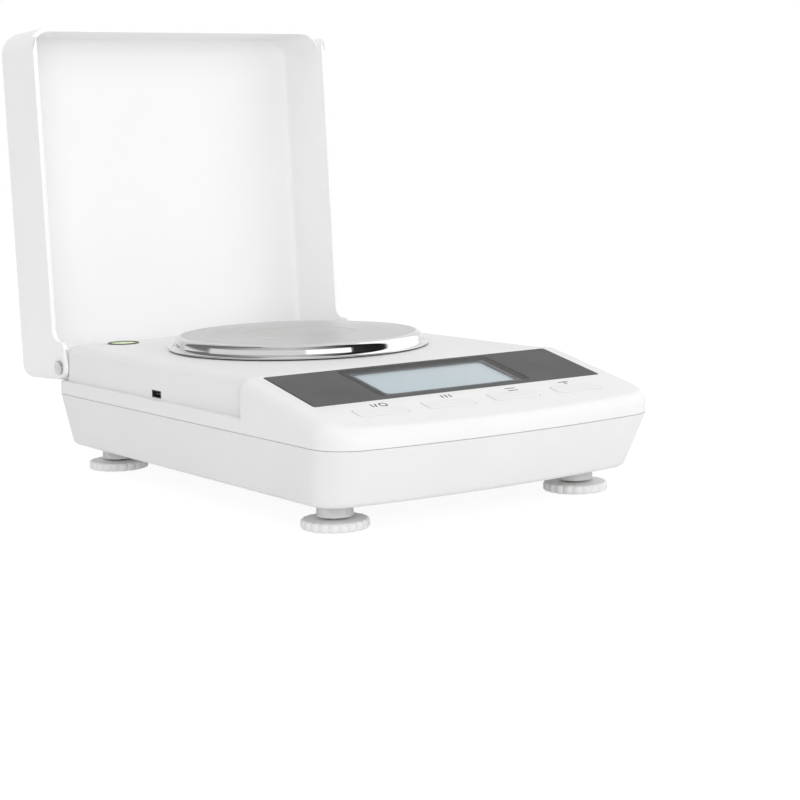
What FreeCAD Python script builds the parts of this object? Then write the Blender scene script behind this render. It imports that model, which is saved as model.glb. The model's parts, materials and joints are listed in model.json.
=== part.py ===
import FreeCAD, Part
import math
import os
import re
import Sketcher
from FreeCAD import Placement, Rotation, Vector

# Lengths are in millimetres and angles in degrees.
# Heights are from the table, and reaches along Y are from the axis of the weighing pan.
SIZES = {
    # Housing outline at the seam between tray and upper shell
    "half_width": 90,
    "front_reach": 174.3,
    "rear_reach": 98,
    "bow_radius": 555,
    "corner_radius": 19,
    "rear_corner": 14,
    "seam_z": 38.8,
    # Tray
    "tray_bottom": 12.4,
    "tray_wall": 2.6,
    "tray_side_taper": 4.2,
    "tray_front_taper": 13.3,
    "tray_corner": 15.5,
    "tray_edge": 2.5,
    # Upper shell
    "shadow_gap": 0.4,
    "shadow_depth": 0.6,
    "ledge_z": 45.3,
    "ledge_edge": 1.2,
    "slope_run": 78.8,
    "apron_lead": 9.5,
    "apron_edge": 6,
    "platform_z": 63.2,
    "ledge_width": 4,
    "ramp_run": 8,
    "rear_step": 3,
    "platform_edge": 6,
    "platform_corner": 10,
    "roof": 2.6,
    "slope_angle": 12,
    "pan_hole_radius": 17,
    "front_wall": 5.1,
    "hidden_lap": 1,
    # Screws that join the two shells
    "shell_screw_side": 14,
    "shell_screw_run": 16.5,
    "shell_screw_middle": 32,
    "shell_screw_back": 14,
    "shell_post_radius": 5.5,
    "shell_screw_radius": 1.5,
    "shell_head_radius": 3.2,
    "shell_head_height": 2.2,
    "shell_head_depth": 11.6,
    "shell_screw_grip": 12,
    "shell_pilot_end": 4,
    "shell_post_end": 1.2,
    # Levelling feet
    "foot_side": 22.5,
    "foot_from_front": 40.8,
    "foot_from_back": 28,
    "foot_boss_radius": 8.1,
    "foot_lift_room": 1.2,
    "foot_boss_top": 26,
    "foot_radius": 15.1,
    "foot_bottom": 0.4,
    "foot_top": 4.5,
    "foot_edge": 0.9,
    "scallop_count": 20,
    "scallop_radius": 1.1,
    "scallop_offset": 0.3,
    "stud_radius": 3,
    "stud_top": 22,
    "stud_seat": 2.2,
    "insert_radius": 4,
    "insert_top": 18,
    "pad_radius": 10.8,
    "pad_thickness": 1.5,
    # Weighing pan
    "pan_radius": 65,
    "pan_lip": 3.2,
    "pan_height": 6.4,
    "pan_sheet": 1.2,
    "pan_lift": 0.5,
    "pan_wall_lean": 0.5,
    "pan_round": 1.7,
    "pan_flare": 1.8,
    "pan_lip_edge": 0.48,
    "pan_ring": 28.4,
    "pan_ring_depth": 0.25,
    # Pan support
    "support_bolt_radius": 3,
    "support_head_radius": 5,
    "support_head": 1.2,
    "buffer_height": 1.5,
    "buffer_radius": 4.5,
    "arm_thickness": 2.2,
    "arm_width": 13,
    "arm_reach": 59.4,
    "buffer_reach": 52,
    "hub_radius": 13,
    "post_radius": 8,
    # Load cell and what carries it
    "cell_length": 130,
    "cell_width": 30,
    "cell_height": 22,
    "cell_bottom": 26,
    "lobe_reach": 19,
    "lobe_radius": 4.2,
    "flexure": 1.5,
    "window_half": 5.6,
    "cell_bolt_radius": 2.5,
    "cell_bolt_inset": 8,
    "cell_bolt_pitch": 15,
    "cell_bolt_grip": 10,
    "cell_bolt_head": 2.6,
    "cell_bolt_head_radius": 4.25,
    "cell_hole_depth": 12,
    "cell_edge": 0.5,
    "gauge_half": 11,
    "gauge_low": 26,
    "gauge_high": 8,
    "spacer_height": 2,
    "spacer_length": 29,
    "base_plate": 5,
    "plate_half": 34,
    "plate_reach": 72,
    "plate_screw_x": 27,
    "plate_screw_reach": 64,
    "plate_screw_radius": 2,
    "plate_screw_head": 2.4,
    "plate_head_radius": 3.6,
    "plate_boss_radius": 5,
    "stop_radius": 3,
    "stop_nut_radius": 5,
    "stop_nut": 1,
    "stop_inset": 14,
    "bracket_plate": 3,
    "bracket_reach": 18,
    "stop_gap": 0.6,
    # Display group, measured down the slope from where it begins
    "overlay_side": 10.6,
    "overlay_top": 0.5,
    "overlay_below": 4.1,
    "overlay_thickness": 0.8,
    "overlay_corner": 1.5,
    "window_side": 5.7,
    "window_top": 2.2,
    "window_below": 3,
    "window_corner": 3,
    "window_thickness": 1.2,
    "lcd_x": 36.5,
    "lcd_top": 6.1,
    "lcd_length": 30,
    "lcd_depth": 2.2,
    "lcd_thickness": 2,
    "lcd_border": 1.6,
    "lcd_corner": 3,
    "lcd_play": 0.1,
    "frame_border": 1.2,
    "board_depth": 7.4,
    "board_thickness": 1.6,
    "board_side": 19,
    "board_length": 65.5,
    "board_post_side": 7,
    "board_post_top": 10.5,
    "board_post_low": 43,
    "board_post_radius": 3,
    "post_lap": 0.6,
    # Keys
    "key_count": 4,
    "key_margin": 36,
    "key_down": 56.5,
    "key_half": 12.7,
    "key_half_depth": 4.5,
    "key_corner": 2,
    "key_proud": 0.35,
    "key_travel": 0.8,
    "key_rim": 1,
    "key_rim_width": 1.2,
    "key_rim_play": 0.2,
    "key_edge": 0.5,
    "dome_radius": 4,
    "dome_play": 0.1,
    "mat_border": 3,
    "mat_thickness": 1,
    # Draft lid
    "pivot_back": 4.5,
    "pivot_drop": 11.2,
    "pivot_radius": 2,
    "lid_open": 93,
    "lid_side_gap": 0.4,
    "lid_back_gap": 0.6,
    "lid_back_play": 0.7,
    "lid_wall": 2.2,
    "lid_front_gap": 2,
    "lid_top": 49,
    "lid_skirt": 6.5,
    "lid_back_edge": 9.3,
    "lid_corner": 12,
    "lid_back_corner": 7.2,
    "lid_edge": 5,
    "ear_reach": 13,
    "ear_drop": 5.5,
    "ear_nose": 4,
    "ear_flare": 7,
    "pin_head_radius": 3.6,
    "pin_head": 1.1,
    "pin_depth": 8.5,
    "pivot_boss": 2.6,
    "pivot_boss_shift": 0.6,
    # Self-tapping screws that hold the two boards
    "pilot_radius": 1.25,
    "small_head_radius": 2.6,
    "small_head": 1.8,
    "pilot_depth": 3,
    "main_post_radius": 3,
    "main_screw_inset": 4,
    # Main board, sockets and level
    "main_side": 36,
    "main_from_front": 22.3,
    "main_behind": 12,
    "main_z": 20,
    "main_thickness": 1.6,
    "side_socket_reach": 9,
    "side_socket_half": 4.5,
    "side_socket_above": 0.7,
    "side_socket_height": 3.6,
    "side_socket_depth": 9,
    "side_socket_shell": 0.5,
    "dc_socket_side": 48,
    "dc_socket_z": 27,
    "dc_bore": 3,
    "dc_half": 4.5,
    "dc_rise": 5.5,
    "dc_depth": 12,
    "dc_reach": 9,
    "dc_pin_seat": 0.6,
    "dc_pin": 1,
    "level_side": 28,
    "level_back": 17,
    "board_steps": 54,
    "level_radius": 8,
    "level_depth": 8,
    "level_wall": 1.5,
    "level_floor": 2,
    "level_rim": 0.4,
    "level_boss_floor": 1.2,
    # Clearances
    "seat_gap": 0.02,
    "running_gap": 0.06,
    "free_gap": 0.3,
}

# Sizes that follow from the ones above
DERIVED = {
    "platform_half": "half_width - ledge_width",
    "platform_rear": "rear_reach - rear_step",
    "slope_reach": "front_reach - slope_run",
    "apron_reach": "slope_reach - apron_lead",
    "shell_screw_x": "half_width - shell_screw_side",
    "shell_screw_front": "slope_reach + shell_screw_run",
    "shell_screw_rear": "rear_reach - shell_screw_back",
    "foot_x": "half_width - foot_side",
    "foot_front": "front_reach - foot_from_front",
    "foot_rear": "rear_reach - foot_from_back",
    "foot_boss_bottom": "foot_top + foot_lift_room",
    "pan_top_radius": "pan_radius - pan_lip",
    "window_x": "lcd_x + window_side",
    "window_length": "lcd_top + lcd_length + window_below - window_top",
    "overlay_half": "half_width - overlay_side",
    "overlay_length": "window_top + window_length + overlay_below - overlay_top",
    "board_half": "half_width - board_side",
    "board_post_x": "board_half - board_post_side",
    "pivot_reach": "platform_rear - pivot_back",
    "pivot_z": "platform_z - pivot_drop",
    "lid_half": "platform_half + lid_side_gap + lid_wall",
    "lid_length": "pivot_reach + apron_reach - lid_front_gap",
    "main_half": "half_width - main_side",
    "main_front": "front_reach - main_from_front",
    "main_rear": "plate_reach + main_behind",
    "side_socket_z": "ledge_z + side_socket_above",
    "dc_socket_x": "half_width - dc_socket_side",
    "level_x": "platform_half - level_side",
    "level_reach": "platform_rear - level_back",
    "key_pitch": "(half_width - key_margin) * 2 / (key_count - 1)",
    "board_step": "main_half / board_steps",
}

doc = FreeCAD.newDocument("precision_scale")
sheet = doc.addObject("Spreadsheet::Sheet", "Sheet")
for row, (alias, value) in enumerate(SIZES.items(), 1):
    sheet.set(f"A{row}", alias)
    sheet.set(f"B{row}", str(value))
    sheet.setAlias(f"B{row}", alias)
doc.recompute()

# Derived heights and places, as formulas of the sizes
SEAM = "seam_z"
UPPER_BOTTOM = "(seam_z + shadow_gap)"
CEILING = "(platform_z - roof)"
FLOOR = "(tray_bottom + tray_wall)"
CAVITY_HALF = "(platform_half - roof)"
PAN_BOTTOM = "(platform_z + pan_lift)"
PAN_UNDERSIDE = "(platform_z + pan_lift + pan_height - pan_sheet)"
ARM_TOP = f"({PAN_UNDERSIDE} - buffer_height)"
ARM_BOTTOM = f"({ARM_TOP} - arm_thickness)"
CELL_TOP = "(cell_bottom + cell_height)"
PLATE_TOP = "(cell_bottom - spacer_height)"
PLATE_BOTTOM = f"({PLATE_TOP} - base_plate)"
BRACKET_BOTTOM = f"({CELL_TOP} + spacer_height)"
BRACKET_TOP = f"({BRACKET_BOTTOM} + bracket_plate)"
BOARD_TOP = "(-board_depth)"
BOARD_BOTTOM = "(-board_depth - board_thickness)"
BURIED = "(tray_bottom + tray_wall - hidden_lap)"
PLATE_PILOT = f"({BURIED} - hidden_lap / 2)"
MAIN_PILOT = "(main_z - pilot_depth - free_gap)"
MAIN_TOP = "(main_z + main_thickness)"
LID_REACH = "(lid_top * sin(lid_open) - lid_length * cos(lid_open))"
# Sine of the angle at which the bowed front meets each round corner, the same at every height
BOW_SINE = "((half_width - corner_radius) / (bow_radius - corner_radius))"
# Angles round the tray's bottom edge at which its outline is drawn
TRAY_EDGE_STEPS = (0, 30, 60, 90)
# The origin lies under the middle of the whole object with its lid open
PAN_Y = f"((front_reach - pivot_reach - {LID_REACH}) / 2)"

WORD = re.compile(r"[A-Za-z_][A-Za-z_0-9]*")
nodes = []


def spelled_out(formula):
    """The formula with each derived word put as the formula that gives it."""
    for word in set(WORD.findall(formula)) & set(DERIVED):
        formula = re.sub(rf"\b{word}\b", f"({spelled_out(DERIVED[word])})", formula)
    return formula


def bound(formula):
    """The formula with every size's word turned into a reference to its cell."""
    full = spelled_out(formula)
    return WORD.sub(lambda m: "Sheet." + m.group() if m.group() in SIZES else m.group(), full)


def size(formula):
    """The formula's value now."""
    return float(sheet.evalExpression(spelled_out(formula)))


def bind(thing, path, formula):
    thing.setExpression(path, bound(formula))


def place(thing, x="0", y="0", z="0"):
    """Moves a shape to a place that follows the sizes."""
    for axis, formula in zip("xyz", (x, y, z)):
        if formula != "0":
            bind(thing, f"Placement.Base.{axis}", formula)
    thing.Placement.Base = Vector(size(x), size(y), size(z))
    return thing


def tilt(thing, angle):
    """Turns a shape about X by an angle that follows the sizes."""
    thing.Placement = Placement(thing.Placement.Base, Rotation(Vector(1, 0, 0), size(angle)))
    bind(thing, "Placement.Rotation.Angle", angle)
    return thing


def on_slope(thing):
    """Places a shape drawn in the slope's own frame: X across, Y up the slope, Z out of it."""
    held = group(thing)
    place(held, "0", "-slope_reach", "platform_z")
    return tilt(held, "slope_angle")


def node(label, thing):
    """Names a finished piece and moves it from the pan's frame to the object's frame."""
    thing.Label = label
    here = {path: formula for path, formula in thing.ExpressionEngine}
    old = here.get("Placement.Base.y", here.get(".Placement.Base.y", "0"))
    thing.setExpression("Placement.Base.y", f"{bound(PAN_Y)} + {old}")
    nodes.append(thing)
    return thing


def box(x, y, z):
    """A block between the formulas of its low and high faces on each axis."""
    thing = doc.addObject("Part::Box", "block")
    for side, (low, high) in zip(("Length", "Width", "Height"), (x, y, z)):
        bind(thing, side, f"({high}) - ({low})")
    return place(thing, x[0], y[0], z[0])


def cylinder(radius, low, high, x="0", y="0"):
    """An upright round bar between two heights."""
    thing = doc.addObject("Part::Cylinder", "bar")
    bind(thing, "Radius", radius)
    bind(thing, "Height", f"({high}) - ({low})")
    return place(thing, x, y, low)


def cross_bar(radius, low, high, y, z):
    """A round bar along X."""
    thing = doc.addObject("Part::Cylinder", "bar")
    bind(thing, "Radius", radius)
    bind(thing, "Height", f"({high}) - ({low})")
    thing.Placement = Placement(Vector(0, 0, 0), Rotation(Vector(0, 1, 0), 90))
    return place(thing, low, y, z)


def fuse(*things):
    thing = doc.addObject("Part::MultiFuse", "joined")
    thing.Shapes = list(things)
    thing.Refine = True
    return thing


def cut(base, *tools):
    thing = doc.addObject("Part::Cut", "trimmed")
    thing.Base = base
    thing.Tool = tools[0] if len(tools) == 1 else fuse(*tools)
    thing.Refine = True
    return thing


def common(first, second):
    thing = doc.addObject("Part::MultiCommon", "shared")
    thing.Shapes = [first, second]
    return thing


def group(*things):
    """Several separate solids in one piece's node."""
    thing = doc.addObject("Part::Compound", "set")
    thing.Links = list(things)
    return thing


def new_body(name):
    return doc.addObject("PartDesign::Body", name)


def sketch(body, role, offset="0", name="outline"):
    """A sketch on one of the body's own planes, lifted by a formula."""
    plane = next(f for f in body.Origin.OriginFeatures if f.Role == role)
    drawn = body.newObject("Sketcher::SketchObject", name)
    drawn.AttachmentSupport = (plane, [""])
    drawn.MapMode = "FlatFace"
    if offset != "0":
        drawn.AttachmentOffset = Placement(Vector(0, 0, size(offset)), Rotation())
        bind(drawn, "AttachmentOffset.Base.z", offset)
    return drawn


def fix(drawn, kind, geometry, point, formula):
    """Holds one coordinate of a point at a formula's value."""
    value = size(formula)
    if formula == "0":
        axis = -2 if kind == "DistanceX" else -1
        drawn.addConstraint(Sketcher.Constraint("PointOnObject", geometry, point, axis))
        return
    number = drawn.addConstraint(Sketcher.Constraint(kind, -1, 1, geometry, point, value))
    drawn.setExpression(f"Constraints[{number}]", bound(formula))


def fix_radius(drawn, geometry, formula):
    number = drawn.addConstraint(Sketcher.Constraint("Radius", geometry, size(formula)))
    drawn.setExpression(f"Constraints[{number}]", bound(formula))


def polygon(drawn, points):
    """A closed outline of straight lines through points given as pairs of formulas."""
    first = drawn.GeometryCount
    spots = [Vector(size(x), size(y), 0) for x, y in points]
    count = len(points)
    for i in range(count):
        drawn.addGeometry(Part.LineSegment(spots[i], spots[(i + 1) % count]))
    for i in range(count):
        drawn.addConstraint(
            Sketcher.Constraint("Coincident", first + i, 2, first + (i + 1) % count, 1)
        )
    for i, (x, y) in enumerate(points):
        fix(drawn, "DistanceX", first + i, 1, x)
        fix(drawn, "DistanceY", first + i, 1, y)
    return drawn


def rectangle(drawn, left, bottom, right, top):
    return polygon(drawn, [(left, bottom), (right, bottom), (right, top), (left, top)])


def circle(drawn, radius, x="0", y="0"):
    number = drawn.addGeometry(Part.Circle(Vector(size(x), size(y), 0), Vector(0, 0, 1), size(radius)))
    fix_radius(drawn, number, radius)
    fix(drawn, "DistanceX", number, 3, x)
    fix(drawn, "DistanceY", number, 3, y)
    return drawn


def rounded_rectangle(drawn, half, low, high, low_round, high_round):
    """A rectangle symmetric about the sketch's Y axis, with round corners at each end."""
    a, b, c = size(half), size(low), size(high)
    r1, r2 = size(low_round), size(high_round)
    first = drawn.GeometryCount
    quarter = math.pi / 2
    corners = [
        (a - r1, b + r1, r1, 3 * quarter),
        (a - r2, c - r2, r2, 0),
        (r2 - a, c - r2, r2, quarter),
        (r1 - a, b + r1, r1, 2 * quarter),
    ]
    for x, y, r, turn in corners:
        ring = Part.Circle(Vector(x, y, 0), Vector(0, 0, 1), r)
        drawn.addGeometry(Part.ArcOfCircle(ring, turn, turn + quarter))
    sides = [
        ((a, b + r1), (a, c - r2)),
        ((a - r2, c), (r2 - a, c)),
        ((-a, c - r2), (-a, b + r1)),
        ((r1 - a, b), (a - r1, b)),
    ]
    for start, end in sides:
        drawn.addGeometry(Part.LineSegment(Vector(*start, 0), Vector(*end, 0)))
    for i in range(4):
        line = first + 4 + i
        drawn.addConstraint(Sketcher.Constraint("Tangent", first + i, 2, line, 1))
        drawn.addConstraint(Sketcher.Constraint("Tangent", line, 2, first + (i + 1) % 4, 1))
    for i in (0, 2):
        drawn.addConstraint(Sketcher.Constraint("Vertical", first + 4 + i))
        drawn.addConstraint(Sketcher.Constraint("Horizontal", first + 5 + i))
    for i, radius in enumerate((low_round, high_round, high_round, low_round)):
        fix_radius(drawn, first + i, radius)
    fix(drawn, "DistanceX", first + 4, 1, half)
    fix(drawn, "DistanceX", first + 6, 1, f"-({half})")
    fix(drawn, "DistanceY", first + 5, 1, high)
    fix(drawn, "DistanceY", first + 7, 1, low)
    return drawn


def housing_outline(drawn, half, front, rear, front_round, rear_round):
    """The housing seen from above: straight sides and back, a bowed front, round corners."""
    bow_formula = f"({front_round}) + (({half}) - ({front_round})) / {BOW_SINE}"
    a, f, r = size(half), size(front), size(rear)
    bow, r1, r2 = size(bow_formula), size(front_round), size(rear_round)
    middle = bow - f
    reach = ((bow - r1) ** 2 - (a - r1) ** 2) ** 0.5
    corner_y = middle - reach
    lean = Vector(a - r1, -reach, 0).normalize()
    start = Vector(1, 0, 0).getAngle(lean)
    quarter = math.pi / 2
    ring = Part.Circle(Vector(0, middle, 0), Vector(0, 0, 1), bow)
    drawn.addGeometry(Part.ArcOfCircle(ring, 2 * quarter + start, 4 * quarter - start))
    spots = [
        (a - r1, corner_y, r1, -start, 0),
        (a - r2, r - r2, r2, 0, quarter),
        (r2 - a, r - r2, r2, quarter, 2 * quarter),
        (r1 - a, corner_y, r1, 2 * quarter, 2 * quarter + start),
    ]
    for x, y, radius, begin, end in spots:
        ring = Part.Circle(Vector(x, y, 0), Vector(0, 0, 1), radius)
        drawn.addGeometry(Part.ArcOfCircle(ring, begin, end))
    lines = [((a, corner_y), (a, r - r2)), ((a - r2, r), (r2 - a, r)), ((-a, r - r2), (-a, corner_y))]
    for begin, end in lines:
        drawn.addGeometry(Part.LineSegment(Vector(*begin, 0), Vector(*end, 0)))
    chain = [0, 1, 5, 2, 6, 3, 7, 4]
    for i, piece in enumerate(chain):
        drawn.addConstraint(Sketcher.Constraint("Tangent", piece, 2, chain[(i + 1) % 8], 1))
    drawn.addConstraint(Sketcher.Constraint("Vertical", 5))
    drawn.addConstraint(Sketcher.Constraint("Horizontal", 6))
    drawn.addConstraint(Sketcher.Constraint("Vertical", 7))
    for piece, radius in zip((1, 2, 3, 4), (front_round, rear_round, rear_round, front_round)):
        fix_radius(drawn, piece, radius)
    fix_radius(drawn, 0, bow_formula)
    fix(drawn, "DistanceX", 0, 3, "0")
    fix(drawn, "DistanceY", 0, 3, f"{bow_formula} - ({front})")
    fix(drawn, "DistanceX", 5, 1, half)
    fix(drawn, "DistanceX", 7, 1, f"-({half})")
    fix(drawn, "DistanceY", 6, 1, rear)
    return drawn


def pad(body, drawn, length, midplane=False, reverse=False):
    grown = body.newObject("PartDesign::Pad", "grown")
    grown.Profile = drawn
    bind(grown, "Length", length)
    grown.Midplane = midplane
    grown.Reversed = reverse
    doc.recompute()
    return grown


def pocket(body, drawn, length, midplane=False, reverse=False):
    sunk = body.newObject("PartDesign::Pocket", "sunk")
    sunk.Profile = drawn
    bind(sunk, "Length", length)
    sunk.Midplane = midplane
    sunk.Reversed = reverse
    doc.recompute()
    return sunk


def loft(body, sections):
    skinned = body.newObject("PartDesign::AdditiveLoft", "skinned")
    skinned.Profile = sections[0]
    skinned.Sections = sections[1:]
    skinned.Ruled = True
    doc.recompute()
    return skinned


def revolve(body, drawn):
    turned = body.newObject("PartDesign::Revolution", "turned")
    turned.Profile = drawn
    turned.ReferenceAxis = (drawn, ["V_Axis"])
    turned.Angle = 360
    doc.recompute()
    return turned


def round_edges(body, radius, wanted):
    """Rounds the edges of the body so far whose middle and box satisfy a test."""
    base = body.Tip
    names = []
    for i, edge in enumerate(base.Shape.Edges, 1):
        middle = edge.valueAt((edge.FirstParameter + edge.LastParameter) / 2)
        if wanted(middle, edge.BoundBox):
            names.append(f"Edge{i}")
    rounded = body.newObject("PartDesign::Fillet", "rounded")
    rounded.Base = (base, names)
    bind(rounded, "Radius", radius)
    doc.recompute()
    return rounded


def slope_z(reach):
    """Height of the slope's surface at a reach in front of the pan's axis."""
    return f"(platform_z - tan(slope_angle) * (({reach}) - slope_reach))"


# Where the shell screws and the feet stand
SHELL_SCREWS = [
    (side + "shell_screw_x", reach)
    for reach in ("-shell_screw_front", "-shell_screw_middle", "shell_screw_rear")
    for side in ("-", "")
]
MAIN_SCREWS = [
    (x, y)
    for x in ("-main_half + main_screw_inset", "main_half - main_screw_inset")
    for y in ("-main_front + main_screw_inset", "-main_rear - main_screw_inset")
]
FEET = {
    "front_left": ("-foot_x", "-foot_front"),
    "front_right": ("foot_x", "-foot_front"),
    "rear_left": ("-foot_x", "foot_rear"),
    "rear_right": ("foot_x", "foot_rear"),
}


def tray_section(body, z, inset, name):
    """The tray's outline at one height, drawn in from its tapered wall by an inset."""
    rise = f"((({z}) - tray_bottom) / (seam_z - tray_bottom))"
    side_loss = f"(({inset}) + tray_side_taper * (1 - {rise}))"
    corner_loss = f"(({inset}) + (corner_radius - tray_corner) * (1 - {rise}))"
    return housing_outline(
        sketch(body, "XY_Plane", z, name),
        f"half_width - {side_loss}",
        f"front_reach - ({inset}) - tray_front_taper * (1 - {rise})",
        f"rear_reach - {side_loss}",
        f"corner_radius - {corner_loss}",
        f"rear_corner - ({inset})",
    )


def lower_housing():
    """The tray: tapered walls, a round bottom edge, foot bosses and screw posts."""
    body = new_body("tray_body")
    sections = []
    for angle in TRAY_EDGE_STEPS:
        z = f"(tray_bottom + tray_edge * (1 - cos({angle})))"
        sections.append(tray_section(body, z, f"tray_edge * (1 - sin({angle}))", "tray_edge_line"))
    sections.append(tray_section(body, SEAM, "0", "tray_rim"))
    loft(body, sections)
    hollow = new_body("tray_hollow")
    floor = tray_section(hollow, FLOOR, "tray_wall", "hollow_floor")
    mouth = tray_section(hollow, f"{SEAM} + 1", "tray_wall", "hollow_mouth")
    loft(hollow, [floor, mouth])
    shell = cut(body, hollow)
    added = []
    removed = []
    for x, y in SHELL_SCREWS:
        seat = "tray_bottom + shell_head_depth"
        added.append(cylinder("shell_post_radius", BURIED, SEAM, x, y))
        removed.append(cylinder("shell_head_radius + free_gap", "0", seat, x, y))
        removed.append(cylinder("shell_screw_radius + free_gap", "0", "seam_z + 1", x, y))
    for x, y in FEET.values():
        added.append(cylinder("foot_boss_radius", "foot_boss_bottom", "foot_boss_top", x, y))
        removed.append(cylinder("insert_radius + seat_gap", "0", "insert_top", x, y))
        removed.append(cylinder("stud_radius + free_gap", "0", "foot_boss_top - 1", x, y))
    for x in ("-plate_screw_x", "plate_screw_x"):
        for y in ("-plate_screw_reach", "plate_screw_reach"):
            pilot = "plate_screw_radius + seat_gap"
            added.append(cylinder("plate_boss_radius", BURIED, PLATE_BOTTOM, x, y))
            removed.append(cylinder(pilot, PLATE_PILOT, f"{PLATE_TOP} + 1", x, y))
    for x, y in MAIN_SCREWS:
        added.append(cylinder("main_post_radius", BURIED, "main_z", x, y))
        removed.append(cylinder("pilot_radius + seat_gap", MAIN_PILOT, "main_z + 1", x, y))
    socket_hole = box(
        ("dc_socket_x - dc_half - seat_gap", "dc_socket_x + dc_half + seat_gap"),
        ("rear_reach - tray_side_taper - tray_wall - 2", "rear_reach + 1"),
        ("dc_socket_z - dc_rise - seat_gap", "dc_socket_z + dc_rise + seat_gap"),
    )
    removed.append(socket_hole)
    node("lower_housing", cut(fuse(shell, *added), *removed))


def upper_shell_outside():
    """The upper shell's outer form: bowed apron with a slope, ledge, and raised platform."""
    apron = new_body("apron_body")
    plinth = sketch(apron, "XY_Plane", SEAM, "plinth")
    housing_outline(
        plinth,
        "half_width - shadow_depth",
        "front_reach - shadow_depth",
        "rear_reach - shadow_depth",
        "corner_radius - shadow_depth",
        "rear_corner - shadow_depth",
    )
    pad(apron, plinth, "shadow_gap + 1")
    walls = sketch(apron, "XY_Plane", UPPER_BOTTOM, "apron_outline")
    housing_outline(walls, "half_width", "front_reach", "rear_reach", "corner_radius", "rear_corner")
    pad(apron, walls, "platform_z - seam_z")
    profile = sketch(apron, "YZ_Plane", "0", "side_profile")
    polygon(
        profile,
        [
            ("rear_reach + 5", "platform_z"),
            ("-slope_reach", "platform_z"),
            ("-front_reach - 5", slope_z("front_reach + 5")),
            ("-front_reach - 5", "platform_z + 8"),
            ("rear_reach + 5", "platform_z + 8"),
        ],
    )
    pocket(apron, profile, "half_width * 2 + 10", midplane=True)
    outside = "half_width + ledge_width"
    ramp_start = "-apron_reach - ramp_run * 2"
    recess = sketch(apron, "XY_Plane", "ledge_z", "recess_outline")
    polygon(
        recess,
        [
            (f"-({outside})", ramp_start),
            ("-platform_half", "-apron_reach"),
            ("platform_half", "-apron_reach"),
            (outside, ramp_start),
            (outside, "rear_reach + 5"),
            (f"-({outside})", "rear_reach + 5"),
        ],
    )
    pocket(apron, recess, "platform_z - ledge_z + 2", reverse=True)
    ledge, reach = size("ledge_z"), size("apron_reach")
    half, ledge_width = size("half_width"), size("ledge_width")
    corner_line = size("-front_reach + corner_radius * 2")

    def slope_edge(middle, bounds):
        rises = middle.z > ledge + 0.3 and bounds.YMax < -reach + 0.01
        flat = bounds.YLength < 0.01 and middle.y > -reach - 0.01
        upright = bounds.ZLength > 1 and bounds.YLength < 0.01 and bounds.XLength < 0.01
        outer = abs(middle.x) > half - ledge_width or middle.y < corner_line
        return rises and not flat and not upright and outer

    round_edges(apron, "apron_edge", slope_edge)

    def ledge_edge(middle, bounds):
        level_edge = abs(bounds.ZMin - ledge) < 0.01 and bounds.ZLength < 0.01
        return level_edge and middle.y > -reach + 1

    round_edges(apron, "ledge_edge", ledge_edge)
    platform = new_body("platform_body")
    top = sketch(platform, "XY_Plane", "ledge_z - 2", "platform_outline")
    rounded_rectangle(
        top,
        "platform_half",
        "-apron_reach - platform_edge - hidden_lap",
        "platform_rear",
        "hidden_lap",
        "platform_corner",
    )
    pad(platform, top, "platform_z - ledge_z + 2")
    crest = size("platform_z")
    front = size("-apron_reach - platform_edge")
    round_edges(
        platform,
        "platform_edge",
        lambda middle, bounds: abs(bounds.ZMin - crest) < 0.01 and middle.y > front,
    )
    return fuse(apron, platform)


def upper_shell_hollow():
    """The room inside the upper shell, a wall in from the platform, slope and front."""
    plan = new_body("hollow_plan")
    outline = sketch(plan, "XY_Plane", "seam_z - 1", "hollow_outline")
    housing_outline(
        outline,
        CAVITY_HALF,
        "front_reach - front_wall",
        "platform_rear - roof",
        "corner_radius - roof - 2",
        "platform_corner - roof",
    )
    pad(plan, outline, "platform_z - seam_z")
    side = new_body("hollow_side")
    profile = sketch(side, "YZ_Plane", "0", "hollow_profile")
    polygon(
        profile,
        [
            ("platform_rear", "seam_z - 1"),
            ("platform_rear", CEILING),
            ("-slope_reach", CEILING),
            ("-front_reach", f"{slope_z('front_reach')} - roof"),
            ("-front_reach", "seam_z - 1"),
        ],
    )
    pad(side, profile, f"{CAVITY_HALF} * 2 + 2", midplane=True)
    return common(plan, side)


def display_openings():
    """Cuts in the slope: the overlay's recess, the window, the keys and the board's pilots."""
    tools = []
    recess = new_body("overlay_recess")
    drawn = sketch(recess, "XY_Plane", "-overlay_thickness", "recess_outline")
    rounded_rectangle(
        drawn,
        "overlay_half + seat_gap * 5",
        "-overlay_top - overlay_length - seat_gap * 5",
        "-overlay_top + seat_gap * 5",
        "overlay_corner",
        "overlay_corner",
    )
    pad(recess, drawn, "overlay_thickness + 3")
    tools.append(recess)
    light = new_body("window_hole")
    drawn = sketch(light, "XY_Plane", "-roof - 6", "window_outline")
    rounded_rectangle(
        drawn,
        "window_x + seat_gap * 5",
        "-window_top - window_length - seat_gap * 5",
        "-window_top + seat_gap * 5",
        "window_corner",
        "window_corner",
    )
    pad(light, drawn, "roof + 8")
    tools.append(light)
    for i in range(int(SIZES["key_count"])):
        keyhole = new_body("key_hole")
        drawn = sketch(keyhole, "XY_Plane", "-roof - 5", "key_hole_outline")
        rounded_rectangle(
            drawn,
            "key_half + free_gap",
            "-key_half_depth - free_gap",
            "key_half_depth + free_gap",
            "key_corner + free_gap",
            "key_corner + free_gap",
        )
        pad(keyhole, drawn, "roof + 8")
        place(keyhole, f"({i} - (key_count - 1) / 2) * key_pitch", "-key_down")
        tools.append(keyhole)
    return on_slope(fuse(*tools))


def side_socket_span():
    """The side socket's reach along Y."""
    return "-side_socket_reach - side_socket_half", "-side_socket_reach + side_socket_half"


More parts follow.
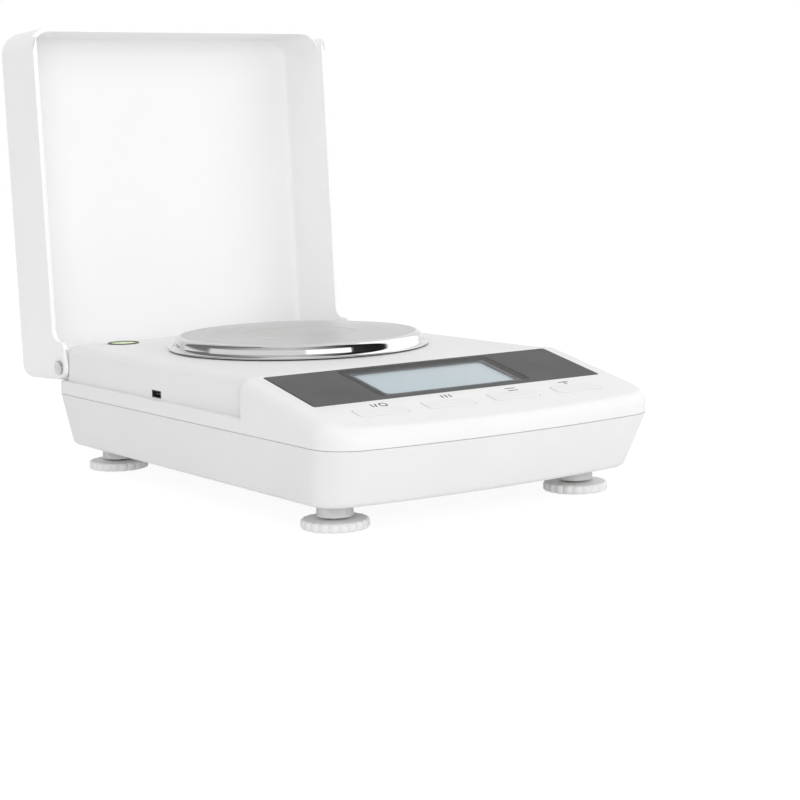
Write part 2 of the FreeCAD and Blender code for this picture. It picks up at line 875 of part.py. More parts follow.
def board_posts(radius, low, high):
    """Four bars at the display board's fixings, in the slope's frame."""
    return [
        cylinder(radius, low, high, x, y)
        for x in ("-board_post_x", "board_post_x")
        for y in ("-board_post_top", "-board_post_low")
    ]


def upper_housing():
    shell = cut(upper_shell_outside(), upper_shell_hollow())
    added = []
    removed = [display_openings(), cylinder("pan_hole_radius", CEILING + " - 2", "platform_z + 2")]
    for x, y in SHELL_SCREWS:
        over = slope_z(y[1:]) if y == "-shell_screw_front" else "platform_z"
        top = f"{over} - shell_post_end"
        pilot = "shell_screw_radius + seat_gap"
        added.append(cylinder("shell_post_radius - 1", UPPER_BOTTOM, top, x, y))
        removed.append(cylinder(pilot, "seam_z - 1", f"{top} - shell_pilot_end", x, y))
    for sign in (-1, 1):
        wall, room = f"{sign} * (platform_half - 1)", f"{sign} * (platform_half - pin_depth)"
        low, high = sorted((wall, room), key=size)
        boss_y = "pivot_reach - pivot_boss_shift"
        added.append(cross_bar("pivot_radius + pivot_boss", low, high, boss_y, "pivot_z"))
        wall, room = f"{sign} * half_width", f"{sign} * (platform_half - pin_depth - free_gap)"
        low, high = sorted((wall, room), key=size)
        removed.append(cross_bar("pivot_radius + seat_gap", low, high, "pivot_reach", "pivot_z"))
    at_level = ("-level_x", "level_reach")
    cup_floor = "platform_z - level_depth"
    added.append(
        cylinder("level_radius + level_wall", f"{cup_floor} - level_boss_floor", "platform_z - hidden_lap", *at_level)
    )
    removed.append(cylinder("level_radius + running_gap", cup_floor, "platform_z + 2", *at_level))
    socket_low, socket_high = side_socket_span()
    removed.append(
        box(
            ("-platform_half - 2", "-platform_half + roof + 2"),
            (f"{socket_low} - seat_gap", f"{socket_high} + seat_gap"),
            ("side_socket_z - seat_gap", "side_socket_z + side_socket_height + seat_gap"),
        )
    )
    added.append(on_slope(fuse(*board_posts("board_post_radius", BOARD_TOP, "-roof + post_lap"))))
    pilot = "pilot_radius + seat_gap"
    removed.append(on_slope(fuse(*board_posts(pilot, f"{BOARD_TOP} - 1", "-roof - post_lap"))))
    node("upper_housing", cut(fuse(shell, *added), *removed))


def weighing_pan():
    """A spun dish turned over: flat top with a shallow round hollow, rounded rim, flared lip."""
    body = new_body("pan_body")
    drawn = sketch(body, "XZ_Plane", "0", "pan_profile")
    inner = "pan_top_radius - pan_sheet"
    polygon(
        drawn,
        [
            ("pan_radius", "0"),
            ("pan_radius", "pan_sheet"),
            ("pan_top_radius + pan_wall_lean", "pan_sheet"),
            ("pan_top_radius", "pan_height"),
            ("pan_ring + pan_ring_depth * 4", "pan_height"),
            ("pan_ring", "pan_height - pan_ring_depth"),
            ("0", "pan_height - pan_ring_depth"),
            ("0", "pan_height - pan_sheet"),
            (inner, "pan_height - pan_sheet"),
            (f"{inner} + pan_wall_lean", "0"),
        ],
    )
    revolve(body, drawn)
    high, low, sheet_top = size("pan_height"), size("pan_height - pan_sheet"), size("pan_sheet")
    lip, crown = size("pan_radius"), size("pan_top_radius")
    round_edges(body, "pan_round", lambda m, b: abs(b.ZMin - high) < 0.01 and abs(b.XMax - crown) < 0.01)
    round_edges(
        body,
        "pan_flare",
        lambda m, b: abs(b.ZMin - sheet_top) < 0.01 and b.ZLength < 0.01 and b.XMax < lip - 0.1,
    )
    round_edges(body, "pan_round - pan_sheet", lambda m, b: abs(b.ZMin - low) < 0.01 and b.ZLength < 0.01)
    round_edges(body, "pan_lip_edge", lambda m, b: abs(b.XMax - lip) < 0.01 and b.ZLength < 0.01)
    node("weighing_pan", place(body, "0", "0", PAN_BOTTOM))


def pan_support():
    """Four arms and a hub that carry the pan, on a post that goes down through the housing."""
    arms = [
        box(("-arm_width / 2", "arm_width / 2"), ("-arm_reach", "arm_reach"), (ARM_BOTTOM, ARM_TOP)),
        box(("-arm_reach", "arm_reach"), ("-arm_width / 2", "arm_width / 2"), (ARM_BOTTOM, ARM_TOP)),
    ]
    hub = cylinder("hub_radius", ARM_BOTTOM, ARM_TOP)
    post = cylinder("post_radius", BRACKET_TOP, ARM_TOP)
    limit = cylinder("arm_reach", ARM_BOTTOM, ARM_TOP)
    spider = common(fuse(*arms), limit)
    bolt = "support_bolt_radius"
    bolt_room = cylinder(f"{bolt} + seat_gap", f"{BRACKET_TOP} - 1", f"{ARM_TOP} + 1")
    node("pan_support", cut(fuse(spider, hub, post), bolt_room))
    buffers = []
    for reach in ("-buffer_reach", "buffer_reach"):
        buffers.append(cylinder("buffer_radius", ARM_TOP, PAN_UNDERSIDE, reach, "0"))
        buffers.append(cylinder("buffer_radius", ARM_TOP, PAN_UNDERSIDE, "0", reach))
    node("pan_buffers", group(*buffers))
    shank = cylinder(bolt, BRACKET_BOTTOM, ARM_TOP)
    head = cylinder("support_head_radius", ARM_TOP, f"{ARM_TOP} + support_head")
    node("support_screw", fuse(shank, head))


def load_cell():
    """A single-point cell: an aluminium bar whose milled window leaves four thin flexures."""
    body = new_body("cell_body")
    side = sketch(body, "YZ_Plane", "0", "cell_side")
    rectangle(side, "-cell_length / 2", "cell_bottom", "cell_length / 2", CELL_TOP)
    pad(body, side, "cell_width", midplane=True)
    window = sketch(body, "YZ_Plane", "0", "cell_window")
    centre = "(cell_bottom + cell_height / 2)"
    rectangle(window, "-lobe_reach", f"{centre} - window_half", "lobe_reach", f"{centre} + window_half")
    pocket(body, window, "cell_width + 2", midplane=True)
    lobes = sketch(body, "YZ_Plane", "0", "flexure_lobes")
    rise = "(cell_height / 2 - flexure - lobe_radius)"
    for y in ("-lobe_reach", "lobe_reach"):
        for sign in "-+":
            circle(lobes, "lobe_radius", y, f"{centre} {sign} {rise}")
    pocket(body, lobes, "cell_width + 2", midplane=True)
    first = "cell_length / 2 - cell_bolt_inset"
    second = "cell_length / 2 - cell_bolt_inset - cell_bolt_pitch"
    fixed = sketch(body, "XY_Plane", "cell_bottom", "fixed_end_holes")
    free = sketch(body, "XY_Plane", CELL_TOP, "free_end_holes")
    for reach in (first, second):
        circle(fixed, "cell_bolt_radius + seat_gap", "0", f"-({reach})")
        circle(free, "cell_bolt_radius + seat_gap", "0", reach)
    pocket(body, fixed, "cell_hole_depth", reverse=True)
    pocket(body, free, "cell_hole_depth")
    long_edges, bar_length = size("cell_width / 2"), size("cell_length")

    def long_edge(middle, bounds):
        return abs(abs(middle.x) - long_edges) < 0.01 and bounds.YLength > bar_length / 2

    round_edges(body, "cell_edge", long_edge)
    node("load_cell", body)
    across = ("-cell_width / 2", "cell_width / 2")
    gauge = box(
        ("-gauge_half", "gauge_half"), ("-gauge_low", "gauge_high"), (CELL_TOP, f"{CELL_TOP} + 1")
    )
    node("gauge_cover", gauge)
    fixed_end = ("-cell_length / 2", "-cell_length / 2 + spacer_length")
    spacer = box(across, fixed_end, (PLATE_TOP, "cell_bottom"))
    plate = box(("-plate_half", "plate_half"), ("-plate_reach", "plate_reach"), (PLATE_BOTTOM, PLATE_TOP))
    bolt, hole, bolt_head = "cell_bolt_radius", "cell_bolt_radius + seat_gap", "cell_bolt_head_radius"
    under, over = f"{PLATE_BOTTOM} - 1", f"{PLATE_TOP} + 1"
    spacer_holes = []
    plate_holes = []
    bracket_holes = [
        cylinder("support_bolt_radius + seat_gap", f"{BRACKET_BOTTOM} - 1", f"{BRACKET_TOP} + 1")
    ]
    lower_bolts = []
    upper_bolts = []
    for reach in (first, second):
        fixed_y = f"-({reach})"
        spacer_holes.append(cylinder(hole, under, "cell_bottom + 1", "0", fixed_y))
        plate_holes.append(cylinder(hole, under, "cell_bottom + 1", "0", fixed_y))
        bracket_holes.append(cylinder(hole, f"{CELL_TOP} - 1", f"{BRACKET_TOP} + 1", "0", reach))
        shank = cylinder(bolt, PLATE_BOTTOM, "cell_bottom + cell_bolt_grip", "0", fixed_y)
        head = cylinder(bolt_head, f"{PLATE_BOTTOM} - cell_bolt_head", PLATE_BOTTOM, "0", fixed_y)
        lower_bolts.append(fuse(shank, head))
        shank = cylinder(bolt, f"{CELL_TOP} - cell_bolt_grip", BRACKET_TOP, "0", reach)
        head = cylinder(bolt_head, BRACKET_TOP, f"{BRACKET_TOP} + cell_bolt_head", "0", reach)
        upper_bolts.append(fuse(shank, head))
    screws = []
    for x in ("-plate_screw_x", "plate_screw_x"):
        for y in ("-plate_screw_reach", "plate_screw_reach"):
            plate_holes.append(cylinder("plate_screw_radius + free_gap", under, over, x, y))
            shank = cylinder("plate_screw_radius", f"{PLATE_PILOT} + free_gap", PLATE_TOP, x, y)
            top = f"{PLATE_TOP} + plate_screw_head"
            head = cylinder("plate_head_radius", PLATE_TOP, top, x, y)
            screws.append(fuse(shank, head))
    at_stop = ("0", "cell_length / 2 - stop_inset")
    plate_holes.append(cylinder("stop_radius + seat_gap", under, over, *at_stop))
    stop_screw = cylinder("stop_radius", PLATE_BOTTOM, "cell_bottom - stop_gap", *at_stop)
    nut = cylinder("stop_nut_radius", PLATE_TOP, f"{PLATE_TOP} + stop_nut", *at_stop)
    bore = cylinder("stop_radius + seat_gap", f"{PLATE_TOP} - 1", f"{PLATE_TOP} + 2", *at_stop)
    free_end = ("cell_length / 2 - spacer_length", "cell_length / 2")
    foot = box(across, free_end, (CELL_TOP, BRACKET_TOP))
    arm = box(across, ("-bracket_reach", "cell_length / 2"), (BRACKET_BOTTOM, BRACKET_TOP))
    node("cell_spacer", cut(spacer, *spacer_holes))
    node("cell_base_plate", cut(plate, *plate_holes))
    node("base_plate_screws", group(*screws))
    node("overload_stop", group(stop_screw, cut(nut, bore)))
    node("cell_lower_bolts", group(*lower_bolts))
    node("cell_top_bracket", cut(fuse(foot, arm), *bracket_holes))
    node("cell_upper_bolts", group(*upper_bolts))


def feet():
    """Four levelling feet, each a scalloped disc on a threaded stud over a rubber pad."""
    inserts = []
    for corner, (x, y) in FEET.items():
        body = new_body("foot_" + corner)
        drawn = sketch(body, "XY_Plane", "foot_bottom", "disc")
        circle(drawn, "foot_radius")
        pad(body, drawn, "foot_top - foot_bottom")
        high, low = size("foot_top"), size("foot_bottom")
        round_edges(body, "foot_edge", lambda m, b: abs(b.ZMin - high) < 0.01 and b.ZLength < 0.01)
        bite = sketch(body, "XY_Plane", "foot_bottom", "scallop")
        circle(bite, "scallop_radius", "foot_radius + scallop_offset", "0")
        scallop = pocket(body, bite, "foot_top - foot_bottom + 1", reverse=True)
        ring = body.newObject("PartDesign::PolarPattern", "scallops")
        ring.Originals = [scallop]
        ring.Axis = (bite, ["N_Axis"])
        ring.Angle = 360
        bind(ring, "Occurrences", "scallop_count")
        body.Tip = ring
        doc.recompute()
        seat = sketch(body, "XY_Plane", "foot_bottom", "pad_seat")
        circle(seat, "pad_radius + free_gap")
        pocket(body, seat, "pad_thickness + free_gap - foot_bottom", reverse=True)
        hole = sketch(body, "XY_Plane", "foot_top", "stud_hole")
        circle(hole, "stud_radius + seat_gap")
        pocket(body, hole, "foot_top - stud_seat")
        node(f"foot_disc_{corner}", place(body, x, y))
        node(f"foot_stud_{corner}", cylinder("stud_radius", "stud_seat", "stud_top", x, y))
        node(f"foot_pad_{corner}", cylinder("pad_radius", "0", "pad_thickness", x, y))
        sleeve = cylinder("insert_radius", "foot_boss_bottom", "insert_top", x, y)
        thread = cylinder(
            "stud_radius + running_gap", "foot_boss_bottom - 1", "insert_top + 1", x, y
        )
        inserts.append(cut(sleeve, thread))
    node("foot_inserts", group(*inserts))


def plate_on_slope(name, half, low, high, corner, bottom, thickness):
    """A rounded plate drawn in the slope's frame."""
    body = new_body(name)
    drawn = sketch(body, "XY_Plane", bottom, name + "_outline")
    rounded_rectangle(drawn, half, low, high, corner, corner)
    pad(body, drawn, thickness)
    return body


def display():
    """Overlay, window, frame, liquid-crystal glass, backlight and their board."""
    overlay = plate_on_slope(
        "overlay",
        "overlay_half",
        "-overlay_top - overlay_length",
        "-overlay_top",
        "overlay_corner",
        "-overlay_thickness",
        "overlay_thickness",
    )
    hole = plate_on_slope(
        "overlay_hole",
        "window_x + seat_gap * 2",
        "-window_top - window_length - seat_gap * 2",
        "-window_top + seat_gap * 2",
        "window_corner",
        "-overlay_thickness - 1",
        "overlay_thickness + 2",
    )
    node("display_overlay", on_slope(cut(overlay, hole)))
    window = plate_on_slope(
        "window",
        "window_x",
        "-window_top - window_length",
        "-window_top",
        "window_corner",
        "-window_thickness",
        "window_thickness",
    )
    node("display_window", on_slope(window))
    low = "(-lcd_top - lcd_length)"
    high = "(-lcd_top)"
    frame = box(
        ("-lcd_x - lcd_border - frame_border", "lcd_x + lcd_border + frame_border"),
        (f"{low} - lcd_border - frame_border", f"{high} + 2"),
        (BOARD_TOP, "-window_thickness - seat_gap"),
    )
    sight = plate_on_slope(
        "sight", "lcd_x", low, high, "lcd_corner", f"{BOARD_TOP} - 1", f"1 - {BOARD_TOP}"
    )
    nest = box(
        ("-lcd_x - lcd_border", "lcd_x + lcd_border"),
        (f"{low} - lcd_border", f"{high} + hidden_lap"),
        (f"{BOARD_TOP} - 1", "-lcd_depth + seat_gap"),
    )
    node("lcd_frame", on_slope(cut(frame, sight, nest)))
    glass = box(
        ("-lcd_x - lcd_border + lcd_play", "lcd_x + lcd_border - lcd_play"),
        (f"{low} - lcd_border + lcd_play", f"{high} + hidden_lap - lcd_play"),
        ("-lcd_depth - lcd_thickness", "-lcd_depth"),
    )
    node("lcd_glass", on_slope(glass))
    light = box(
        ("-lcd_x - lcd_border + lcd_play", "lcd_x + lcd_border - lcd_play"),
        (f"{low} - lcd_border + lcd_play", f"{high} + hidden_lap - lcd_play"),
        (BOARD_TOP, "-lcd_depth - lcd_thickness"),
    )
    node("backlight", on_slope(light))
    board = box(("-board_half", "board_half"), ("-board_length", "-3"), (BOARD_BOTTOM, BOARD_TOP))
    holes = board_posts("pilot_radius + seat_gap", f"{BOARD_BOTTOM} - 1", f"{BOARD_TOP} + 1")
    node("display_board", on_slope(cut(board, *holes)))
    shanks = board_posts("pilot_radius", BOARD_BOTTOM, "-roof - 1")
    heads = board_posts("small_head_radius", f"{BOARD_BOTTOM} - small_head", BOARD_BOTTOM)
    screws = [fuse(shank, head) for shank, head in zip(shanks, heads)]
    node("display_board_screws", on_slope(group(*screws)))


def keys():
    """Four flush keys over a silicone mat with one dome under each."""
    rim_bottom = "(-roof - key_rim_play - key_rim)"
    dome_top = f"({rim_bottom} - key_travel - dome_play)"
    mat_half = "key_pitch * (key_count - 1) / 2 + key_half + mat_border"
    mat_reach = "key_half_depth + mat_border"
    mat = [
        box(
            (f"-({mat_half})", mat_half),
            (f"-key_down - {mat_reach}", f"-key_down + {mat_reach}"),
            (BOARD_TOP, f"{BOARD_TOP} + mat_thickness"),
        )
    ]
    for i in range(int(SIZES["key_count"])):
        x = f"({i} - (key_count - 1) / 2) * key_pitch"
        body = new_body("key_body")
        cap = sketch(body, "XY_Plane", rim_bottom, "cap")
        rounded_rectangle(
            cap, "key_half", "-key_half_depth", "key_half_depth", "key_corner", "key_corner"
        )
        pad(body, cap, f"key_proud - {rim_bottom}")
        crown = size("key_proud")
        round_edges(body, "key_edge", lambda m, b: abs(b.ZMin - crown) < 0.01)
        rim = sketch(body, "XY_Plane", rim_bottom, "rim")
        rounded_rectangle(
            rim,
            "key_half + key_rim_width",
            "-key_half_depth - key_rim_width",
            "key_half_depth + key_rim_width",
            "key_corner",
            "key_corner",
        )
        pad(body, rim, "key_rim")
        place(
            body,
            x,
            "-slope_reach - key_down * cos(slope_angle)",
            "platform_z - key_down * sin(slope_angle)",
        )
        tilt(body, "slope_angle")
        node(f"key_{i + 1}", body)
        mat.append(cylinder("dome_radius", BOARD_TOP, dome_top, x, "-key_down"))
    node("key_mat", on_slope(fuse(*mat)))


def draft_lid():
    """A hood that pivots on two ears and stands open a little past upright."""
    body = new_body("lid_body")
    rear = "(platform_rear + lid_wall + lid_back_gap - pivot_reach)"
    outer = sketch(body, "XY_Plane", "lid_skirt", "hood_outline")
    rounded_rectangle(outer, "lid_half", "-lid_length", rear, "lid_corner", "lid_back_corner")
    pad(body, outer, "lid_top - lid_skirt")
    crest = size("lid_top")
    round_edges(body, "lid_edge", lambda m, b: abs(b.ZMin - crest) < 0.01 and b.ZLength < 0.01)
    inner = sketch(body, "XY_Plane", "lid_skirt", "hood_inside")
    rounded_rectangle(
        inner,
        "lid_half - lid_wall",
        "-lid_length + lid_wall",
        f"{rear} - lid_wall",
        "lid_corner - lid_wall",
        "lid_back_corner - lid_wall",
    )
    pocket(body, inner, "lid_top - lid_skirt - lid_wall", reverse=True)
    high = size("lid_top - lid_wall")
    round_edges(body, "lid_edge - lid_wall", lambda m, b: abs(b.ZMin - high) < 0.01 and b.ZLength < 0.01)
    ears = []
    for inside in ("-lid_half", "lid_half - lid_wall"):
        ear = new_body("ear_body")
        drawn = sketch(ear, "YZ_Plane", inside, "ear_outline")
        polygon(
            drawn,
            [
                ("-ear_reach - ear_flare - 1", "lid_skirt + 1"),
                ("-ear_reach - ear_flare - 1", "lid_skirt"),
                ("-ear_reach", "lid_skirt"),
                ("-ear_reach", "-ear_drop"),
                ("ear_drop", "-ear_drop"),
                ("ear_drop", "lid_skirt + 1"),
            ],
        )
        pad(ear, drawn, "lid_wall")
        front, low, back = size("-ear_reach"), size("-ear_drop"), size("ear_drop")
        skirt = size("lid_skirt")
        round_edges(ear, "ear_flare", lambda m, b: abs(m.y - front) + abs(m.z - skirt) < 0.01)
        round_edges(ear, "ear_nose", lambda m, b: abs(m.y - front) + abs(m.z - low) < 0.01)
        round_edges(ear, "ear_drop", lambda m, b: abs(m.y - back) + abs(m.z - low) < 0.01)
        ears.append(ear)
    front_step = box(
        ("-lid_half + lid_wall", "lid_half - lid_wall"),
        ("-lid_length - 1", "-lid_length + lid_corner"),
        ("lid_skirt - 1", "platform_z + free_gap - pivot_z"),
    )
    back_step = box(
        ("-lid_half - 1", "lid_half + 1"),
        (f"{rear} - lid_wall - lid_back_play", f"{rear} + 1"),
        ("lid_skirt + 1", "lid_back_edge"),
    )
    back_foot = box(
        ("-lid_half - 1", "lid_half + 1"),
        ("ear_drop", f"{rear} + 1"),
        ("lid_skirt - 1", "lid_back_edge"),
    )
    bore = cross_bar("pivot_radius + running_gap", "-half_width", "half_width", "0", "0")
    lid = cut(fuse(body, *ears), front_step, back_step, back_foot, bore)
    node("draft_lid", tilt(place(lid, "0", "pivot_reach", "pivot_z"), "-lid_open"))
    pins = []
    seat = "lid_half + free_gap"
    for sign in (-1, 1):
        low, high = sorted((f"{sign} * (platform_half - pin_depth)", f"{sign} * ({seat})"), key=size)
        shank = cross_bar("pivot_radius", low, high, "pivot_reach", "pivot_z")
        ends = (f"{sign} * ({seat})", f"{sign} * ({seat} + pin_head)")
        low, high = sorted(ends, key=size)
        head = cross_bar("pin_head_radius", low, high, "pivot_reach", "pivot_z")
        pins.append(fuse(shank, head))
    node("lid_pivot_pins", group(*pins))


# Parts on the main board, in board steps: left, right, front and back edges, and height
BOARD_BLOCKS = [
    ("-8", "6", "20", "34", "1.4"),
    ("18", "44", "34", "56", "4"),
    ("-40", "-24", "58", "65", "6"),
    ("12", "20", "14", "22", "1.6"),
    ("24", "34", "12", "24", "3"),
]
# Round parts on the main board, in board steps: radius, place across and back, and height
BOARD_CANS = [
    ("4", "-36", "22", "10"),
    ("3", "-26", "24", "8"),
]


def main_board():
    """The board in the tray's front with its processor, converter can and connectors."""
    board = box(("-main_half", "main_half"), ("-main_front", "-main_rear"), ("main_z", MAIN_TOP))
    holes = []
    screws = []
    for x, y in MAIN_SCREWS:
        holes.append(cylinder("pilot_radius + seat_gap", "main_z - 1", f"{MAIN_TOP} + 1", x, y))
        shank = cylinder("pilot_radius", "main_z - pilot_depth", MAIN_TOP, x, y)
        head = cylinder("small_head_radius", MAIN_TOP, f"{MAIN_TOP} + small_head", x, y)
        screws.append(fuse(shank, head))
    node("main_board", cut(board, *holes))
    node("main_board_screws", group(*screws))
    blocks = []
    for left, right, front, back, height in BOARD_BLOCKS:
        x = (f"{left} * board_step", f"{right} * board_step")
        y = (f"-main_front + {front} * board_step", f"-main_front + {back} * board_step")
        blocks.append(box(x, y, (MAIN_TOP, f"{MAIN_TOP} + {height} * board_step")))
    for radius, x, front, height in BOARD_CANS:
        top = f"{MAIN_TOP} + {height} * board_step"
        spot = (f"{x} * board_step", f"-main_front + {front} * board_step")
        blocks.append(cylinder(f"{radius} * board_step", MAIN_TOP, top, *spot))
    node("main_board_parts", group(*blocks))


def long_bar(radius, low, high):
    """A round bar along Y at the power inlet."""
    thing = doc.addObject("Part::Cylinder", "bar")
    bind(thing, "Radius", radius)
    bind(thing, "Height", f"({high}) - ({low})")
    thing.Placement = Placement(Vector(0, 0, 0), Rotation(Vector(1, 0, 0), -90))
    return place(thing, "dc_socket_x", low, "dc_socket_z")


def sockets():
    """The small side socket in the platform's left wall and the round power inlet at the back."""
    low, high = side_socket_span()
    top = "side_socket_z + side_socket_height"
    back = "-platform_half + side_socket_depth"
    skin = "side_socket_shell"
    case = box(("-platform_half", back), (low, high), ("side_socket_z", top))
    mouth = box(
        ("-platform_half - 1", f"{back} - 3 * {skin}"),
        (f"{low} + {skin}", f"{high} - {skin}"),
        (f"side_socket_z + {skin}", f"{top} - {skin}"),
    )
    tongue = box(
        ("-platform_half + 1", f"{back} - {skin}"),
        (f"{low} + 4 * {skin}", f"{high} - 4 * {skin}"),
        (f"side_socket_z + 3 * {skin}", f"{top} - 3 * {skin}"),
    )
    node("side_socket", fuse(cut(case, mouth), tongue))
    drop = "(seam_z - dc_socket_z + dc_rise)"
    wall = f"(rear_reach - tray_side_taper * {drop} / (seam_z - tray_bottom))"
    shell = box(
        ("dc_socket_x - dc_half", "dc_socket_x + dc_half"),
        (f"{wall} - dc_depth", wall),
        ("dc_socket_z - dc_rise", "dc_socket_z + dc_rise"),
    )
    bore = long_bar("dc_bore", f"{wall} - dc_reach", f"{wall} + 1")
    pin = long_bar("dc_pin", f"{wall} - dc_reach - dc_pin_seat", f"{wall} - dc_pin")
    node("dc_socket", fuse(cut(shell, bore), pin))


def level():
    """The round bubble level let into the platform behind the pan."""
    low = "(platform_z - level_depth)"
    at_level = ("-level_x", "level_reach")
    well_floor = f"{low} + level_floor"
    inside = "level_radius - level_wall"
    cup = cylinder("level_radius", low, "platform_z + level_rim", *at_level)
    well = cylinder(inside, well_floor, "platform_z + 1", *at_level)
    node("level_cup", cut(cup, well))
    vial = cylinder(f"{inside} - seat_gap", well_floor, "platform_z + level_rim / 2", *at_level)
    node("level_vial", vial)


def housing_screws():
    screws = []
    seat = "(tray_bottom + shell_head_depth)"
    for x, y in SHELL_SCREWS:
        shank = cylinder("shell_screw_radius", seat, "seam_z + shell_screw_grip", x, y)
        head = cylinder("shell_head_radius", f"{seat} - shell_head_height", seat, x, y)
        screws.append(fuse(shank, head))
    node("housing_screws", group(*screws))


def check_and_write():
    doc.recompute()
    failed = [thing.Label for thing in doc.Objects if {"Invalid", "Error"} & set(thing.State)]
    for thing in nodes:
        if thing.Shape.isNull() or not thing.Shape.isValid() or not thing.Shape.Solids:
            failed.append(thing.Label)
    if failed:
        raise SystemExit("not sound: " + ", ".join(sorted(set(failed))))
    os.makedirs("parts", exist_ok=True)
    for thing in nodes:
        thing.Shape.exportStep(f"parts/{thing.Label}.step")
    print(len(nodes), "pieces written")


lower_housing()
upper_housing()
weighing_pan()
pan_support()
load_cell()
feet()
display()
keys()
draft_lid()
main_board()
sockets()
level()
housing_screws()
check_and_write()
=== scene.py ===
import bmesh
import bpy
import json
import math
from mathutils import Matrix, Vector


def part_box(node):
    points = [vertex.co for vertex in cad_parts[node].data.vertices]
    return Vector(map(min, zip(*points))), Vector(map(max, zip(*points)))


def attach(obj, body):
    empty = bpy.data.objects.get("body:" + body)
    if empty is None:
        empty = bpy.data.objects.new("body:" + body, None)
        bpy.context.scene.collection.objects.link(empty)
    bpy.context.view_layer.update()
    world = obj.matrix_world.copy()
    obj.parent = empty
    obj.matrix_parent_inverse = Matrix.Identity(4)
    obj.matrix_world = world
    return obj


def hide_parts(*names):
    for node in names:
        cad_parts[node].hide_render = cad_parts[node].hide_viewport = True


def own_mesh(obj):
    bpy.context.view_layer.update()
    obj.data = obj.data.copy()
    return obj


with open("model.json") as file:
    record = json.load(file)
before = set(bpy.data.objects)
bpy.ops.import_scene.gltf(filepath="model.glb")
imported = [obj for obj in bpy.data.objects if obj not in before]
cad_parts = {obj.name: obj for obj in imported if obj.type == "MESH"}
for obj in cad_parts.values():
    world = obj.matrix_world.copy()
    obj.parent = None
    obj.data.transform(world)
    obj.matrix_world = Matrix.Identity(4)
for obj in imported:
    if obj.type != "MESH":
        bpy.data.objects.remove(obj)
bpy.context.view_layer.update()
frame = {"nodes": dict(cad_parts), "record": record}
nodes = frame["nodes"]
behaviour = frame["record"]["behaviour"]

MM = 0.001
CORNERS = ("front_left", "front_right", "rear_left", "rear_right")
KEYS = ("key_1", "key_2", "key_3", "key_4")

pan_low, pan_high = (Vector(corner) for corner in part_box("weighing_pan"))
PAN_Y = (pan_low.y + pan_high.y) / 2

# The sloping front: its upper edge, and its lean
SLOPE_START = Vector((0, PAN_Y - 95.5 * MM, 63.2 * MM))
SLOPE_LEAN = math.radians(12.0)
UP_SLOPE = Vector((0, math.cos(SLOPE_LEAN), math.sin(SLOPE_LEAN)))
OUT_OF_SLOPE = Vector((0, -math.sin(SLOPE_LEAN), math.cos(SLOPE_LEAN)))

# The height of the upper housing's lower edge, and how far it is brought down over the seam
SEAM_EDGE = 39.2 * MM
SEAM_DROP = 0.15 * MM

# Shading: points this near are one point, and edges that turn by less than this many degrees are round
MERGED_WITHIN = 2e-6
ROUND_BELOW = 33


def on_slope(across, up, out):
    """A point given in millimetres on the sloping front: across, up the slope, and out of it."""
    return SLOPE_START + Vector((across * MM, 0, 0)) + UP_SLOPE * up * MM + OUT_OF_SLOPE * out * MM


# Node trees


class NodeTree:
    """A node tree that is built up call by call."""

    def __init__(self, tree):
        self.tree = tree

    def give(self, value, socket):
        """Links another node's output to a socket, or sets the socket to a plain value."""
        if isinstance(value, bpy.types.NodeSocket):
            self.tree.links.new(value, socket)
        else:
            socket.default_value = value

    def add(self, kind, setup=None, **inputs):
        """A new node with its settings and inputs. An input's name has _ for each space."""
        made = self.tree.nodes.new(kind)
        for key, value in (setup or {}).items():
            setattr(made, key, value)
        for name, value in inputs.items():
            self.give(value, made.inputs[name.replace("_", " ")])
        return made

    def sums(self, operation, *values):
        """The outcome of a sum on one value or two."""
        made = self.add("ShaderNodeMath", {"operation": operation})
        for value, socket in zip(values, made.inputs):
            self.give(value, socket)
        return made.outputs[0]

    def span(self, value, low, high, start=0.3, end=0.7, kind="LINEAR"):
        """Turns start to end into low to high."""
        limits = {"From_Min": start, "From_Max": end, "To_Min": low, "To_Max": high}
        made = self.add("ShaderNodeMapRange", {"interpolation_type": kind}, Value=value, **limits)
        return made.outputs["Result"]

    def axes(self, spot):
        """A point's X, Y and Z."""
        return self.add("ShaderNodeSeparateXYZ", Vector=spot).outputs

    def flat(self, spot):
        """The step from the upright axis to a point, square to the axis."""
        parts = self.axes(spot)
        return self.add("ShaderNodeCombineXYZ", X=parts["X"], Y=parts["Y"]).outputs[0]

    def length(self, step):
        return self.add("ShaderNodeVectorMath", {"operation": "LENGTH"}, Vector=step).outputs["Value"]

    def turn(self, step):
        """The angle that a flat step makes with the X axis."""
        parts = self.axes(step)
        return self.sums("ARCTAN2", parts["Y"], parts["X"])

    def seen(self):
        """1 for what the eye sees, also in reflections and through glass, and 0 for light on the object."""
        path = self.add("ShaderNodeLightPath").outputs
        opaque = self.sums("MAXIMUM", path["Is Camera Ray"], path["Is Glossy Ray"])
        return self.sums("MAXIMUM", opaque, path["Is Transmission Ray"])


